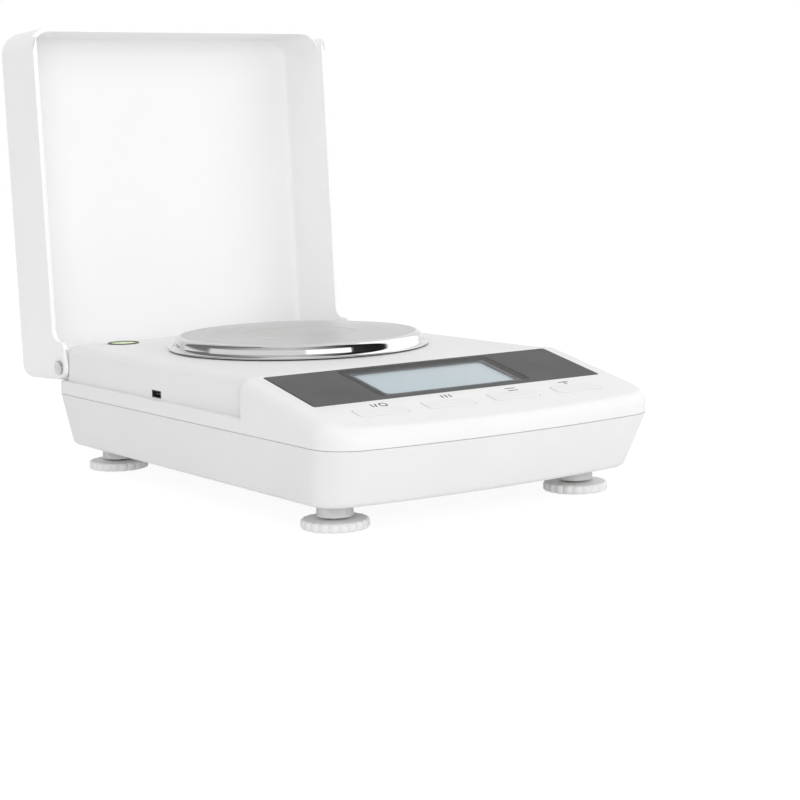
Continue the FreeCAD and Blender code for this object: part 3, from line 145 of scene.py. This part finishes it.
class Finish(NodeTree):
    """A finish whose colour, roughness and relief come from nodes on the piece's own coordinates."""

    def __init__(self, name, **sockets):
        self.material = bpy.data.materials.new(name)
        self.material.use_nodes = True
        super().__init__(self.material.node_tree)
        self.shader = self.tree.nodes["Principled BSDF"]
        self.place = self.add("ShaderNodeTexCoord").outputs["Object"]
        for socket, value in sockets.items():
            self.join(value, socket.replace("_", " "))

    def join(self, value, socket):
        self.give(value, self.shader.inputs[socket])

    def stretched(self, scale):
        """The piece's coordinates, scaled along each axis."""
        return self.add("ShaderNodeMapping", Vector=self.place, Scale=scale).outputs[0]

    def about(self, x, y):
        """The flat step to each point from the upright axis through x and y."""
        shifted = self.add("ShaderNodeMapping", Vector=self.place, Location=(-x, -y, 0)).outputs[0]
        return self.flat(shifted)

    def noise(self, size, detail=3.0, rough=0.5, on=None):
        """Noise whose features are about the given size in millimetres."""
        finely = {"Scale": 1 / (size * MM), "Detail": detail, "Roughness": rough}
        return self.add("ShaderNodeTexNoise", Vector=on or self.place, **finely).outputs["Fac"]

    def blend(self, share, first, second):
        """The first colour where share is 0 and the second where it is 1."""
        made = self.add("ShaderNodeMix", {"data_type": "RGBA"})
        self.give(share, made.inputs[0])
        # A Mix node's sockets for colours come after those for numbers and vectors
        for colour, socket in zip((first, second), made.inputs[6:8]):
            plain = not isinstance(colour, bpy.types.NodeSocket)
            self.give((*colour, 1) if plain else colour, socket)
        return made.outputs[2]

    def colour(self, share, first, second):
        """Blends the finish's own colour from two."""
        self.join(self.blend(share, first, second), "Base Color")

    def relief(self, height, depth, strength=1.0):
        """Bumps of a depth in millimetres."""
        made = self.add("ShaderNodeBump", Height=height, Distance=depth * MM, Strength=strength)
        self.join(made.outputs["Normal"], "Normal")

    def let_through(self, share, tint=(1, 1, 1)):
        """Rays pass straight through where share is 1, and meet the finish where it is 0."""
        opening = self.add("ShaderNodeBsdfTransparent", Color=(*tint, 1))
        mixed = self.add("ShaderNodeMixShader")
        for value, socket in zip((share, self.shader.outputs[0], opening.outputs[0]), mixed.inputs):
            self.tree.links.new(value, socket)
        self.tree.links.new(mixed.outputs[0], self.tree.nodes["Material Output"].inputs["Surface"])


# Finishes


def moulded(name, colour, shade, roughness, grain=0.35, depth=0.012):
    """Injection-moulded plastic with a fine spark grain and faint flow marks."""
    made = Finish(name, IOR=1.5)
    flow = made.noise(38, 2)
    made.colour(made.span(flow, 0, 1), colour, shade)
    made.join(made.span(made.noise(14, 3), roughness - 0.05, roughness + 0.05), "Roughness")
    made.relief(made.noise(grain, 2, 0.6), depth)
    return made.material


def machined(name, colour, shade, roughness, lay, depth=0.01):
    """Milled or drawn metal, with tool marks that run along one axis."""
    made = Finish(name, Metallic=1.0)
    marks = made.noise(1.0, 3, 0.6, made.stretched(lay))
    made.colour(made.span(marks, 0, 1), colour, shade)
    made.join(made.span(made.noise(6, 3), roughness - 0.06, roughness + 0.08), "Roughness")
    made.relief(marks, depth)
    return made.material


def dish_top():
    """The pan's top, brushed in circles about its centre."""
    made = Finish("brushed_dish", Metallic=1.0, Anisotropic=0.55)
    from_centre = made.about(0, PAN_Y)
    along_ring = made.sums("MULTIPLY", made.turn(from_centre), 0.9 * MM)
    rings = made.add("ShaderNodeCombineXYZ", X=made.length(from_centre), Y=along_ring).outputs[0]
    hairs = made.noise(0.22, 4, 0.65, rings)
    broad = made.noise(5, 2, 0.5, rings)
    made.colour(made.span(hairs, 0, 1), (0.53, 0.53, 0.526), (0.60, 0.60, 0.595))
    made.join(made.span(broad, 0.27, 0.37), "Roughness")
    made.relief(hairs, 0.006, 0.7)
    tangent = made.add("ShaderNodeTangent", {"direction_type": "RADIAL", "axis": "Z"})
    made.join(tangent.outputs[0], "Tangent")
    return made.material


def dish_rim():
    """The pan's rim, polished, with faint spinning lines."""
    made = Finish("polished_rim", Metallic=1.0)
    lines = made.noise(0.5, 2, 0.5, made.stretched((0.02, 0.02, 1)))
    made.colour(made.span(lines, 0, 1), (0.60, 0.60, 0.597), (0.66, 0.66, 0.655))
    made.join(made.span(made.noise(9, 3), 0.07, 0.13), "Roughness")
    made.relief(lines, 0.002, 0.5)
    return made.material


def overlay_film():
    """The grey film on the slope: matt, with a very fine grain and a painted shade line along its left end,
    where the pocket's gap lies in shadow.
    """
    made = Finish("overlay_grey", IOR=1.48)
    grey = made.blend(made.span(made.noise(60, 2), 0, 1), (0.07, 0.07, 0.071), (0.08, 0.08, 0.081))
    # Painted shade: a near-black band along the film's left end stands for the shadow in the pocket's gap
    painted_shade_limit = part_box("display_overlay")[0][0] + 0.9 * MM
    in_painted_shade = made.sums("LESS_THAN", made.axes(made.place)["X"], painted_shade_limit)
    made.colour(in_painted_shade, grey, (0.012, 0.012, 0.012))
    made.join(made.span(made.noise(20, 3), 0.6, 0.68), "Roughness")
    made.relief(made.noise(0.3, 2), 0.004, 0.6)
    return made.material


def lcd_face():
    """The unlit liquid-crystal face: pale grey-green, a little bluer to the left."""
    made = Finish("lcd_pale_blue", IOR=1.45)
    parts = made.axes(made.place)
    slant = made.sums("ADD", parts["X"], made.sums("MULTIPLY", parts["Y"], 0.6))
    across = made.span(slant, 0, 1, -0.10, -0.02)
    tint = made.blend(across, (0.29, 0.355, 0.392), (0.355, 0.402, 0.436))
    cloud = made.span(made.noise(7, 2), 0.0, 0.25)
    made.join(made.blend(cloud, tint, (0.326, 0.378, 0.412)), "Base Color")
    made.join(made.span(made.noise(2, 2), 0.32, 0.4), "Roughness")
    made.relief(made.noise(0.15, 1), 0.003, 0.5)
    return made.material


def window_print(made):
    """1 on the dark print round the window's underside and on its edges, 0 where the display shows."""
    side_band, upper_band, lower_band, face_depth = 4.4 * MM, 4.2 * MM, 0.7 * MM, 0.15 * MM
    low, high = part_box("display_window")
    parts = made.axes(made.place)
    sides = made.sums("GREATER_THAN", made.sums("ABSOLUTE", parts["X"]), high[0] - side_band)
    above = made.sums("GREATER_THAN", parts["Y"], high[1] - upper_band)
    below = made.sums("LESS_THAN", parts["Y"], low[1] + lower_band)
    round_it = made.sums("MAXIMUM", sides, made.sums("MAXIMUM", above, below))
    rise = made.sums("MULTIPLY", made.sums("SUBTRACT", parts["Z"], SLOPE_START.z), OUT_OF_SLOPE.z)
    fall = made.sums("MULTIPLY", made.sums("SUBTRACT", parts["Y"], SLOPE_START.y), OUT_OF_SLOPE.y)
    out = made.sums("ADD", rise, fall)
    face = OUT_OF_SLOPE.dot(Vector((0, high[1], high[2])) - SLOPE_START)
    return made.sums("MINIMUM", round_it, made.sums("LESS_THAN", out, face - face_depth))


def clear_pane():
    """Clear moulding: glass to the eye, and open to light on its way to what lies behind it."""
    tint = (0.97, 0.985, 0.985)
    made = Finish("clear_pane", Transmission_Weight=1.0, IOR=1.12)
    border = window_print(made)
    made.colour(border, tint, (0.02, 0.021, 0.022))
    made.join(made.sums("SUBTRACT", 1.0, border), "Transmission Weight")
    made.join(made.span(made.noise(12, 2), 0.02, 0.05), "Roughness")
    made.relief(made.noise(25, 1), 0.002, 0.3)
    made.let_through(made.add("ShaderNodeLightPath").outputs["Is Shadow Ray"], tint)
    return made.material


def level_spirit():
    """The level's vial: yellow-green spirit with a pale bubble inside a black ring."""
    bubble_edge = (1.9 * MM, 2.2 * MM)
    ring_radius, ring_half_width = 3.0 * MM, 0.2 * MM
    low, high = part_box("level_vial")
    made = Finish("level_spirit", IOR=1.49, Roughness=0.3, Coat_Weight=0.6, Coat_Roughness=0.04)
    out = made.length(made.about((low[0] + high[0]) / 2, (low[1] + high[1]) / 2))
    spirit = made.blend(made.span(made.noise(4, 2), 0, 1), (0.42, 0.66, 0.07), (0.5, 0.74, 0.1))
    bubble = made.span(out, 1, 0, *bubble_edge)
    filled = made.blend(bubble, spirit, (0.74, 0.88, 0.42))
    from_ring = made.sums("ABSOLUTE", made.sums("SUBTRACT", out, ring_radius))
    made.colour(made.sums("LESS_THAN", from_ring, ring_half_width), filled, (0.015, 0.015, 0.015))
    made.relief(bubble, 0.15, 0.6)
    return made.material


def circuit_green():
    """Solder mask over fine copper tracks."""
    made = Finish("solder_mask", IOR=1.5, Coat_Weight=0.4, Coat_Roughness=0.15)
    grid = {"feature": "DISTANCE_TO_EDGE", "distance": "MANHATTAN"}
    tracks = made.add("ShaderNodeTexVoronoi", grid, Vector=made.place, Scale=150).outputs["Distance"]
    made.colour(made.span(tracks, 1, 0, 0.03, 0.06), (0.012, 0.09, 0.035), (0.03, 0.19, 0.07))
    made.join(made.span(made.noise(3, 2), 0.3, 0.42), "Roughness")
    made.relief(tracks, 0.05, 0.3)
    return made.material


FINISHES = {
    "housing": moulded("moulded_white_shell", (0.83, 0.83, 0.828), (0.815, 0.815, 0.813), 0.5),
    "tray": moulded("moulded_white_tray", (0.805, 0.805, 0.802), (0.785, 0.785, 0.781), 0.45),
    "key": moulded("key_white", (0.80, 0.80, 0.795), (0.78, 0.78, 0.775), 0.38, 0.25, 0.008),
    "hood": moulded("hood_white", (0.93, 0.93, 0.93), (0.92, 0.92, 0.92), 0.5, 0.6, 0.003),
    "foot": moulded("foot_white", (0.83, 0.83, 0.825), (0.80, 0.80, 0.795), 0.46, 0.3, 0.02),
    "dish": dish_top(),
    "rim": dish_rim(),
    "alloy": machined("cast_alloy", (0.66, 0.66, 0.67), (0.72, 0.72, 0.73), 0.42, (0.1, 1, 1)),
    "cell": machined("milled_alloy", (0.72, 0.72, 0.73), (0.79, 0.79, 0.8), 0.3, (1, 0.06, 1)),
    "steel": machined("plated_steel", (0.55, 0.56, 0.58), (0.64, 0.65, 0.66), 0.26, (1, 1, 0.2), 0.004),
    "brass": machined("turned_brass", (0.66, 0.45, 0.16), (0.74, 0.54, 0.22), 0.3, (1, 1, 6)),
    "rubber": moulded("black_rubber", (0.035, 0.035, 0.036), (0.05, 0.05, 0.05), 0.75, 0.6, 0.05),
    "sealant": moulded("white_sealant", (0.7, 0.7, 0.68), (0.62, 0.62, 0.6), 0.55, 3.0, 0.2),
    "silicone": moulded("grey_silicone", (0.5, 0.51, 0.5), (0.44, 0.45, 0.44), 0.55, 0.8, 0.03),
    "overlay": overlay_film(),
    "lcd": lcd_face(),
    "pane": clear_pane(),
    "vial": level_spirit(),
    "frame": moulded("black_frame", (0.02, 0.021, 0.022), (0.03, 0.031, 0.032), 0.85),
    "guide": moulded("light_guide", (0.8, 0.81, 0.82), (0.74, 0.75, 0.76), 0.35, 1.0, 0.01),
    "black": moulded("socket_black", (0.02, 0.02, 0.02), (0.032, 0.032, 0.032), 0.4),
    "ink": moulded("printed_grey", (0.03, 0.03, 0.031), (0.045, 0.045, 0.045), 0.75, 0.2, 0.004),
    "circuit": circuit_green(),
}
NODES_BY_FINISH = {
    "housing": ("upper_housing",),
    "tray": ("lower_housing",),
    "hood": ("draft_lid",),
    "key": KEYS,
    "alloy": ("pan_support", "cell_top_bracket", "cell_base_plate", "cell_spacer"),
    "cell": ("load_cell",),
    "steel": (
        "support_screw",
        "base_plate_screws",
        "overload_stop",
        "cell_lower_bolts",
        "cell_upper_bolts",
        "display_board_screws",
        "main_board_screws",
        "housing_screws",
        "lid_pivot_pins",
        *(f"foot_stud_{corner}" for corner in CORNERS),
    ),
    "brass": ("foot_inserts",),
    "rubber": ("pan_buffers", *(f"foot_pad_{corner}" for corner in CORNERS)),
    "sealant": ("gauge_cover",),
    "silicone": ("key_mat",),
    "overlay": ("display_overlay",),
    "lcd": ("lcd_glass",),
    "pane": ("display_window",),
    "vial": ("level_vial",),
    "frame": ("lcd_frame",),
    "guide": ("backlight",),
    "black": ("main_board_parts", "side_socket", "dc_socket", "level_cup"),
    "circuit": ("display_board", "main_board"),
}
FINISH_OF = {node: finish for finish, members in NODES_BY_FINISH.items() for node in members}


# Making pieces


def place(name, data):
    """A new object in the scene for a mesh, a lamp or a camera."""
    made = bpy.data.objects.new(name, data)
    bpy.context.scene.collection.objects.link(made)
    return made


def put(name, mesh, *finishes):
    """A new piece with its finishes, in the order of the faces' material numbers."""
    for finish in finishes:
        mesh.materials.append(FINISHES[finish])
    return place(name, mesh)


def keep(piece, body, stands_for=()):
    """Rides a finished piece on its body, and hides the CAD nodes that it stands for."""
    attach(piece, body)
    if stands_for:
        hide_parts(*stands_for)
    return piece


def body_of_node(node):
    return next(body for body, members in behaviour["bodies"].items() if node in members)


def finished(piece):
    """Turns the piece's modifiers into plain mesh."""
    seen = piece.evaluated_get(bpy.context.evaluated_depsgraph_get())
    mesh = bpy.data.meshes.new_from_object(seen)
    piece.modifiers.clear()
    piece.data = mesh


def smooth(mesh, angle):
    """Shades a mesh round, but for edges that turn by more than the angle in degrees."""
    mesh.polygons.foreach_set("use_smooth", [True] * len(mesh.polygons))
    mesh.set_sharp_from_angle(angle=math.radians(angle))


def outward(name, shape):
    """The shape as a mesh, with its faces turned outwards."""
    mesh = bpy.data.meshes.new(name)
    bmesh.ops.recalc_face_normals(shape, faces=shape.faces)
    shape.to_mesh(mesh)
    shape.free()
    return mesh


def narrow_seam(shape):
    """Brings the upper housing's lower edge down, so that the seam shows as a fine line."""
    for spot in shape.verts:
        if abs(spot.co.z - SEAM_EDGE) < 0.02 * MM:
            spot.co.z -= SEAM_DROP


def dressed(node):
    """A merged copy of a CAD node whose round faces are shaded round, standing for the node."""
    copy = nodes[node].data.copy()
    copy.materials.clear()
    shape = bmesh.new()
    shape.from_mesh(copy)
    bmesh.ops.remove_doubles(shape, verts=shape.verts, dist=MERGED_WITHIN)
    if node == "upper_housing":
        narrow_seam(shape)
    shape.to_mesh(copy)
    shape.free()
    smooth(copy, ROUND_BELOW)
    piece = put(node + "_dressed", copy, FINISH_OF[node])
    piece.modifiers.new("even", "WEIGHTED_NORMAL").keep_sharp = True
    finished(piece)
    return keep(piece, body_of_node(node), (node,))


def bending_cell():
    """The load cell as a dressed copy with a mesh of its own. The real cell gives by the carrier's travel
    when the pan is loaded; nothing here bends it.
    """
    cell = dressed("load_cell")
    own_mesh(cell)


def turned(name, profile, steps, finishes, change=None):
    """A solid turned about the upright axis from points (radius, height) in millimetres.

    The profile starts and ends on the axis. Where change is given, the bands between points have the
    second finish from that one on.
    """
    shape = bmesh.new()
    rings = []
    for radius, height in profile:
        turns = [2 * math.pi * i / steps for i in range(steps if radius else 1)]
        spots = [(radius * math.cos(turn), radius * math.sin(turn), height) for turn in turns]
        rings.append([shape.verts.new(Vector(spot) * MM) for spot in spots])
    for band, (first, second) in enumerate(zip(rings, rings[1:])):
        for i in range(steps):
            j = (i + 1) % steps
            corners = [first[i % len(first)], first[j % len(first)]]
            corners += [second[j % len(second)], second[i % len(second)]]
            unique = list(dict.fromkeys(corners))
            if len(unique) > 2:
                face = shape.faces.new(unique)
                face.material_index = int(change is not None and band >= change)
    return put(name, outward(name, shape), *finishes)


def arc(centre, radius, start, end, steps):
    """Points on an arc about the centre, in its plane, between two angles in degrees."""
    points = []
    for i in range(steps + 1):
        turn = math.radians(start + (end - start) * i / steps)
        points.append((centre[0] + radius * math.cos(turn), centre[1] + radius * math.sin(turn)))
    return points


# Weighing pan


def weighing_pan():
    """A pressed dish turned over: brushed top with a shallow ring, polished rim and lip."""
    top, bottom = pan_high.z / MM, pan_low.z / MM
    ring, ring_depth = 27.6, 0.25
    shoulder, shoulder_round = 59.2, 2.6
    flare, flare_round = 64.2, 2.2
    lip, lip_round = 64.62, 0.38
    sheet = 1.2
    brushed = [(0, top - ring_depth), (ring, top - ring_depth), (ring + 0.5, top - 0.22)]
    brushed += [(ring + 1.0, top - 0.08), (ring + 1.5, top), (shoulder - 0.3, top)]
    polished = arc((shoulder, top - shoulder_round), shoulder_round, 90, 6, 14)
    polished += arc((flare, bottom + 2.5), flare_round, 180, 262, 12)
    polished += arc((lip, bottom + 0.5), lip_round, 80, -90, 8)
    polished += [(62.4, bottom + 0.02), (61.2, bottom + 0.3), (60.9, bottom + 1.2)]
    polished += [(60.3, top - 3.1), (58.6, top - sheet), (0, top - sheet)]
    piece = turned("pan_dish", brushed + polished, 256, ("dish", "rim"), len(brushed) - 1)
    piece.data.transform(Matrix.Translation((0, PAN_Y, 0)))
    smooth(piece.data, 40)
    keep(piece, "pan", ("weighing_pan",))


# Levelling feet


def scallop_tree():
    """Geometry nodes that draw a turned disc's edge in between its lobes."""
    tree = bpy.data.node_groups.new("scalloped_edge", "GeometryNodeTree")
    face = tree.interface
    face.new_socket("Geometry", in_out="INPUT", socket_type="NodeSocketGeometry")
    for name in ("Lobes", "Depth", "Inner Radius", "Outer Radius"):
        face.new_socket(name, in_out="INPUT", socket_type="NodeSocketFloat")
    face.new_socket("Finish", in_out="INPUT", socket_type="NodeSocketMaterial")
    face.new_socket("Geometry", in_out="OUTPUT", socket_type="NodeSocketGeometry")
    made = NodeTree(tree)
    given = made.add("NodeGroupInput").outputs
    flat = made.flat(made.add("GeometryNodeInputPosition").outputs[0])
    half_lobes = made.sums("MULTIPLY", made.turn(flat), made.sums("MULTIPLY", given["Lobes"], 0.5))
    petal = made.sums("POWER", made.sums("ABSOLUTE", made.sums("COSINE", half_lobes)), 0.8)
    hollow = made.sums("SUBTRACT", 1.0, petal)
    edge = (given["Inner Radius"], given["Outer Radius"])
    rim = made.span(made.length(flat), 0, 1, *edge, "SMOOTHSTEP")
    draw_in = made.sums("MULTIPLY", made.sums("MULTIPLY", hollow, given["Depth"]), rim)
    along = made.add("ShaderNodeVectorMath", {"operation": "NORMALIZE"}, Vector=flat).outputs[0]
    inward = made.sums("MULTIPLY", draw_in, -1.0)
    shift = made.add("ShaderNodeVectorMath", {"operation": "SCALE"}, Vector=along, Scale=inward).outputs[0]
    moved = made.add("GeometryNodeSetPosition", Geometry=given["Geometry"], Offset=shift).outputs[0]
    real = made.add("GeometryNodeRealizeInstances", Geometry=moved).outputs[0]
    painted = made.add("GeometryNodeSetMaterial", Geometry=real, Material=given["Finish"]).outputs[0]
    made.add("NodeGroupOutput", Geometry=painted)
    return tree


def set_inputs(modifier, **values):
    """Sets a geometry-nodes modifier's inputs by the sockets' identifiers."""
    for item in modifier.node_group.interface.items_tree:
        key = item.name.replace(" ", "_")
        if item.in_out == "INPUT" and key in values:
            modifier[item.identifier] = values[key]


def levelling_foot(corner, scallops):
    """A lobed hand wheel with a slightly domed top and a hollow for its pad."""
    disc = f"foot_disc_{corner}"
    low, high = (Vector(spot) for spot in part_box(disc))
    bottom, top, radius = low.z / MM, high.z / MM, (high.x - low.x) / 2 / MM
    hollow, hollow_depth = 11.1, 1.6
    dome, side = 12.6, radius - 0.02
    profile = [(0, bottom + hollow_depth), (hollow - 0.2, bottom + hollow_depth)]
    profile += [(hollow, bottom + 1.4), (hollow, bottom + 0.2)]
    profile += arc((hollow + 0.8, bottom + 0.3), 0.3, 180, 270, 3)
    profile += [(dome, bottom), (dome + 0.8, bottom)]
    profile += arc((radius - 0.9, bottom + 0.9), 0.9, 270, 350, 6)
    profile += [(side, bottom + 1.6), (side, top - 1.5)]
    profile += arc((radius - 1.1, top - 1.2), 1.1, 10, 90, 7)
    profile += [(dome, top - 0.08), (10.5, top - 0.02), (8.6, top), (0, top)]
    piece = turned(f"foot_wheel_{corner}", profile, 400, ("foot",))
    smooth(piece.data, 60)
    edge = piece.modifiers.new("scallops", "NODES")
    edge.node_group = scallops
    set_inputs(
        edge,
        Lobes=20.0,
        Depth=0.95 * MM,
        Inner_Radius=(radius - 3.2) * MM,
        Outer_Radius=(radius - 0.4) * MM,
        Finish=FINISHES["foot"],
    )
    finished(piece)
    piece.data.transform(Matrix.Translation(((low.x + high.x) / 2, (low.y + high.y) / 2, 0)))
    smooth(piece.data, 50)
    keep(piece, f"foot_{corner}", (disc,))


# Small printed signs by the keys


def strokes(name, lines):
    """Printed strokes on the slope: each is a run of points (across, up) in millimetres."""
    half_width, ink_top, ink_foot = 0.33, 0.03, -0.02
    shape = bmesh.new()
    for line in lines:
        points = [Vector(point) for point in line]
        closed = len(points) > 2 and (points[0] - points[-1]).length < 1e-6
        if closed:
            points.pop()
        count = len(points)
        rims = []
        for i, point in enumerate(points):
            before = points[i - 1] if closed or i else point
            after = points[(i + 1) % count] if closed or i < count - 1 else point
            along = (after - before).normalized()
            side = Vector((-along.y, along.x)) * half_width
            rims.append((point + side, point - side))
        for layer, turn_over in ((ink_top, False), (ink_foot, True)):
            made = [[shape.verts.new(on_slope(*spot, layer)) for spot in rim] for rim in rims]
            for i in range(count if closed else count - 1):
                here, there = made[i], made[(i + 1) % count]
                corners = [here[0], here[1], there[1], there[0]]
                shape.faces.new(corners[::-1] if turn_over else corners)
    keep(put(name, outward(name, shape), "ink"), "base")


def key_signs():
    """Plain signs in front of the display: a switch mark, three bars, two lines and a balance mark."""
    row, half = -49.2, 1.8
    low, high = row - half, row + half
    switch = [
        [(-53.8, low), (-53.8, high)],
        [(-52.4, low), (-51.2, high)],
        arc((-48.0, row), half, 0, 360, 28),
    ]
    bars = [[(x, low + 1.1), (x + 0.5, high + 1.1)] for x in (-16.0, -13.8, -11.6)]
    lines = [[(19.4, row + up), (25.0, row + up)] for up in (-1.4, 1.4)]
    balance = [[(50.6, row + 1.5), (56.4, row + 1.5)], [(53.5, row + 1.5), (53.5, low)]]
    strokes("sign_switch", switch)
    strokes("sign_bars", bars)
    strokes("sign_lines", lines)
    strokes("sign_balance", balance)


# Studio


def studio_floor():
    """A white floor that takes the object's shadow and can be seen through from below."""
    reach, drop = 5, 0.05 * MM
    corners = ((-reach, -reach), (reach, -reach), (reach, reach), (-reach, reach))
    mesh = bpy.data.meshes.new("floor")
    mesh.from_pydata([(x, y, -drop) for x, y in corners], [], [(0, 1, 2, 3)])
    made = Finish("floor_white", Roughness=0.9, Specular_IOR_Level=0.0)
    seen = made.seen()
    cloth = made.blend(made.span(made.noise(400, 2), 0, 1), (0.8, 0.8, 0.8), (0.79, 0.79, 0.79))
    made.colour(seen, cloth, (0.16, 0.16, 0.16))
    made.join((1, 1, 1, 1), "Emission Color")
    made.join(made.span(seen, 0.135, 0.9, 0, 1), "Emission Strength")
    made.let_through(made.add("ShaderNodeNewGeometry").outputs["Backfacing"])
    mesh.materials.append(made.material)
    place("studio_floor", mesh)


def white_room(ambient):
    """White to the eye and in reflections, and a softer light on the object."""
    world = bpy.data.worlds.new("white_room")
    bpy.context.scene.world = world
    world.use_nodes = True
    world.node_tree.nodes.clear()
    made = NodeTree(world.node_tree)
    strength = made.span(made.seen(), ambient, 1.0, 0, 1)
    glow = made.add("ShaderNodeBackground", Color=(1, 1, 1, 1), Strength=strength)
    made.add("ShaderNodeOutputWorld", Surface=glow.outputs[0])


def soft_lamp(name, spot, size, power):
    """A broad lamp that faces the object and doesn't show in polished metal."""
    lamp = bpy.data.lights.new(name, "AREA")
    lamp.shape = "RECTANGLE"
    lamp.size, lamp.size_y = size
    lamp.energy = power
    holder = place(name, lamp)
    holder.visible_glossy = False
    holder.location = spot
    aim = Vector((0, 0, 0.05))
    holder.rotation_euler = (aim - Vector(spot)).to_track_quat("-Z", "Y").to_euler()


def rim_card(name, glows, low, high):
    """A curved card about the pan that only shows in polished metal.

    Glows pairs each turn from the camera's side with its glow there. Low and high are the card's
    edges as degrees above the pan.
    """
    camera_side, distance, centre_height, steps = 235.1, 0.9, 0.07, 8
    spots, levels = [], []
    for (start, first), (end, second) in zip(glows, glows[1:]):
        for i in range(steps + 1):
            turn = math.radians(camera_side + start + (end - start) * i / steps)
            foot = Vector((math.cos(turn), math.sin(turn), 0)) * distance
            for rise in (low, high):
                height = centre_height + distance * math.tan(math.radians(rise))
                spots.append(foot + Vector((0, PAN_Y, height)))
                levels.append(first + (second - first) * i / steps)
    mesh = bpy.data.meshes.new(name)
    mesh.from_pydata(spots, [], [(i, i + 2, i + 3, i + 1) for i in range(0, len(spots) - 2, 2)])
    mesh.attributes.new("glow", "FLOAT", "POINT").data.foreach_set("value", levels)
    made = Finish(name + "_paper", Roughness=1.0, Specular_IOR_Level=0.0)
    made.colour(made.noise(200), (0.01, 0.01, 0.01), (0.02, 0.02, 0.02))
    made.join((1, 1, 1, 1), "Emission Color")
    glow = made.add("ShaderNodeAttribute", {"attribute_name": "glow"})
    made.join(glow.outputs["Fac"], "Emission Strength")
    mesh.materials.append(made.material)
    card = place(name, mesh)
    card.visible_camera = False
    card.visible_diffuse = False
    card.visible_shadow = False
    card.visible_transmission = False


def photo_camera():
    """A long lens from the front left, a little above the pan, as fitted to the photo."""
    turn, rise, roll = math.radians(-34.89), math.radians(7.89), math.radians(-1.24)
    aim = Vector((19.30 * MM, PAN_Y - 60.0 * MM, 39.94 * MM))
    distance = 0.96
    picture_width, focal_length_in_pixels, sensor_width = 800, 1980.85, 36
    ahead = Vector((-math.sin(turn) * math.cos(rise), math.cos(turn) * math.cos(rise), -math.sin(rise)))
    right = Vector((math.cos(turn), math.sin(turn), 0))
    up = right.cross(ahead)
    rolled_right = right * math.cos(roll) + up * math.sin(roll)
    rolled_up = up * math.cos(roll) - right * math.sin(roll)
    lens = bpy.data.cameras.new("photo_camera")
    lens.sensor_fit = "HORIZONTAL"
    lens.sensor_width = sensor_width
    lens.lens = focal_length_in_pixels * sensor_width / picture_width
    lens.clip_start = 0.05
    holder = place("photo_camera", lens)
    pose = Matrix((rolled_right, rolled_up, -ahead)).transposed().to_4x4()
    pose.translation = aim - ahead * distance
    holder.matrix_world = pose
    bpy.context.scene.camera = holder


for node, finish in FINISH_OF.items():
    mesh = nodes[node].data
    mesh.materials.clear()
    mesh.materials.append(FINISHES[finish])
for node in ("upper_housing", "lower_housing", "draft_lid", "lid_pivot_pins", *KEYS):
    dressed(node)
bending_cell()
weighing_pan()
lobed_edge = scallop_tree()
for corner in CORNERS:
    levelling_foot(corner, lobed_edge)
key_signs()
studio_floor()
white_room(0.68)
soft_lamp("front_light", (-0.95, -1.8, 0.42), (1.2, 0.8), 10.5)
soft_lamp("key_light", (1.2, -1.4, 0.9), (1.2, 1.0), 7.6)
soft_lamp("top_light", (-0.4, -0.1, 2.0), (2.0, 2.0), 8)
high_glows = ((-84, 0.22), (-62, 0.41), (-42, 0.64), (-5, 0.78), (12, 0.6), (30, 0.3), (50, 0.1))
rim_card("left_shade", ((-124, 0.2), (-84, 0.22)), 1, 72)
rim_card("high_shade", high_glows, 13, 72)
rim_card("right_shade", ((50, 0.02), (88, 0)), -3, 72)
rim_card("near_glow", ((9, 1.8), (50, 1.8)), -3, 13)
rim_card("far_glow", ((90, 1.8), (146, 1.6)), -3, 60)
photo_camera()
bpy.context.scene.view_settings.view_transform = "Standard"
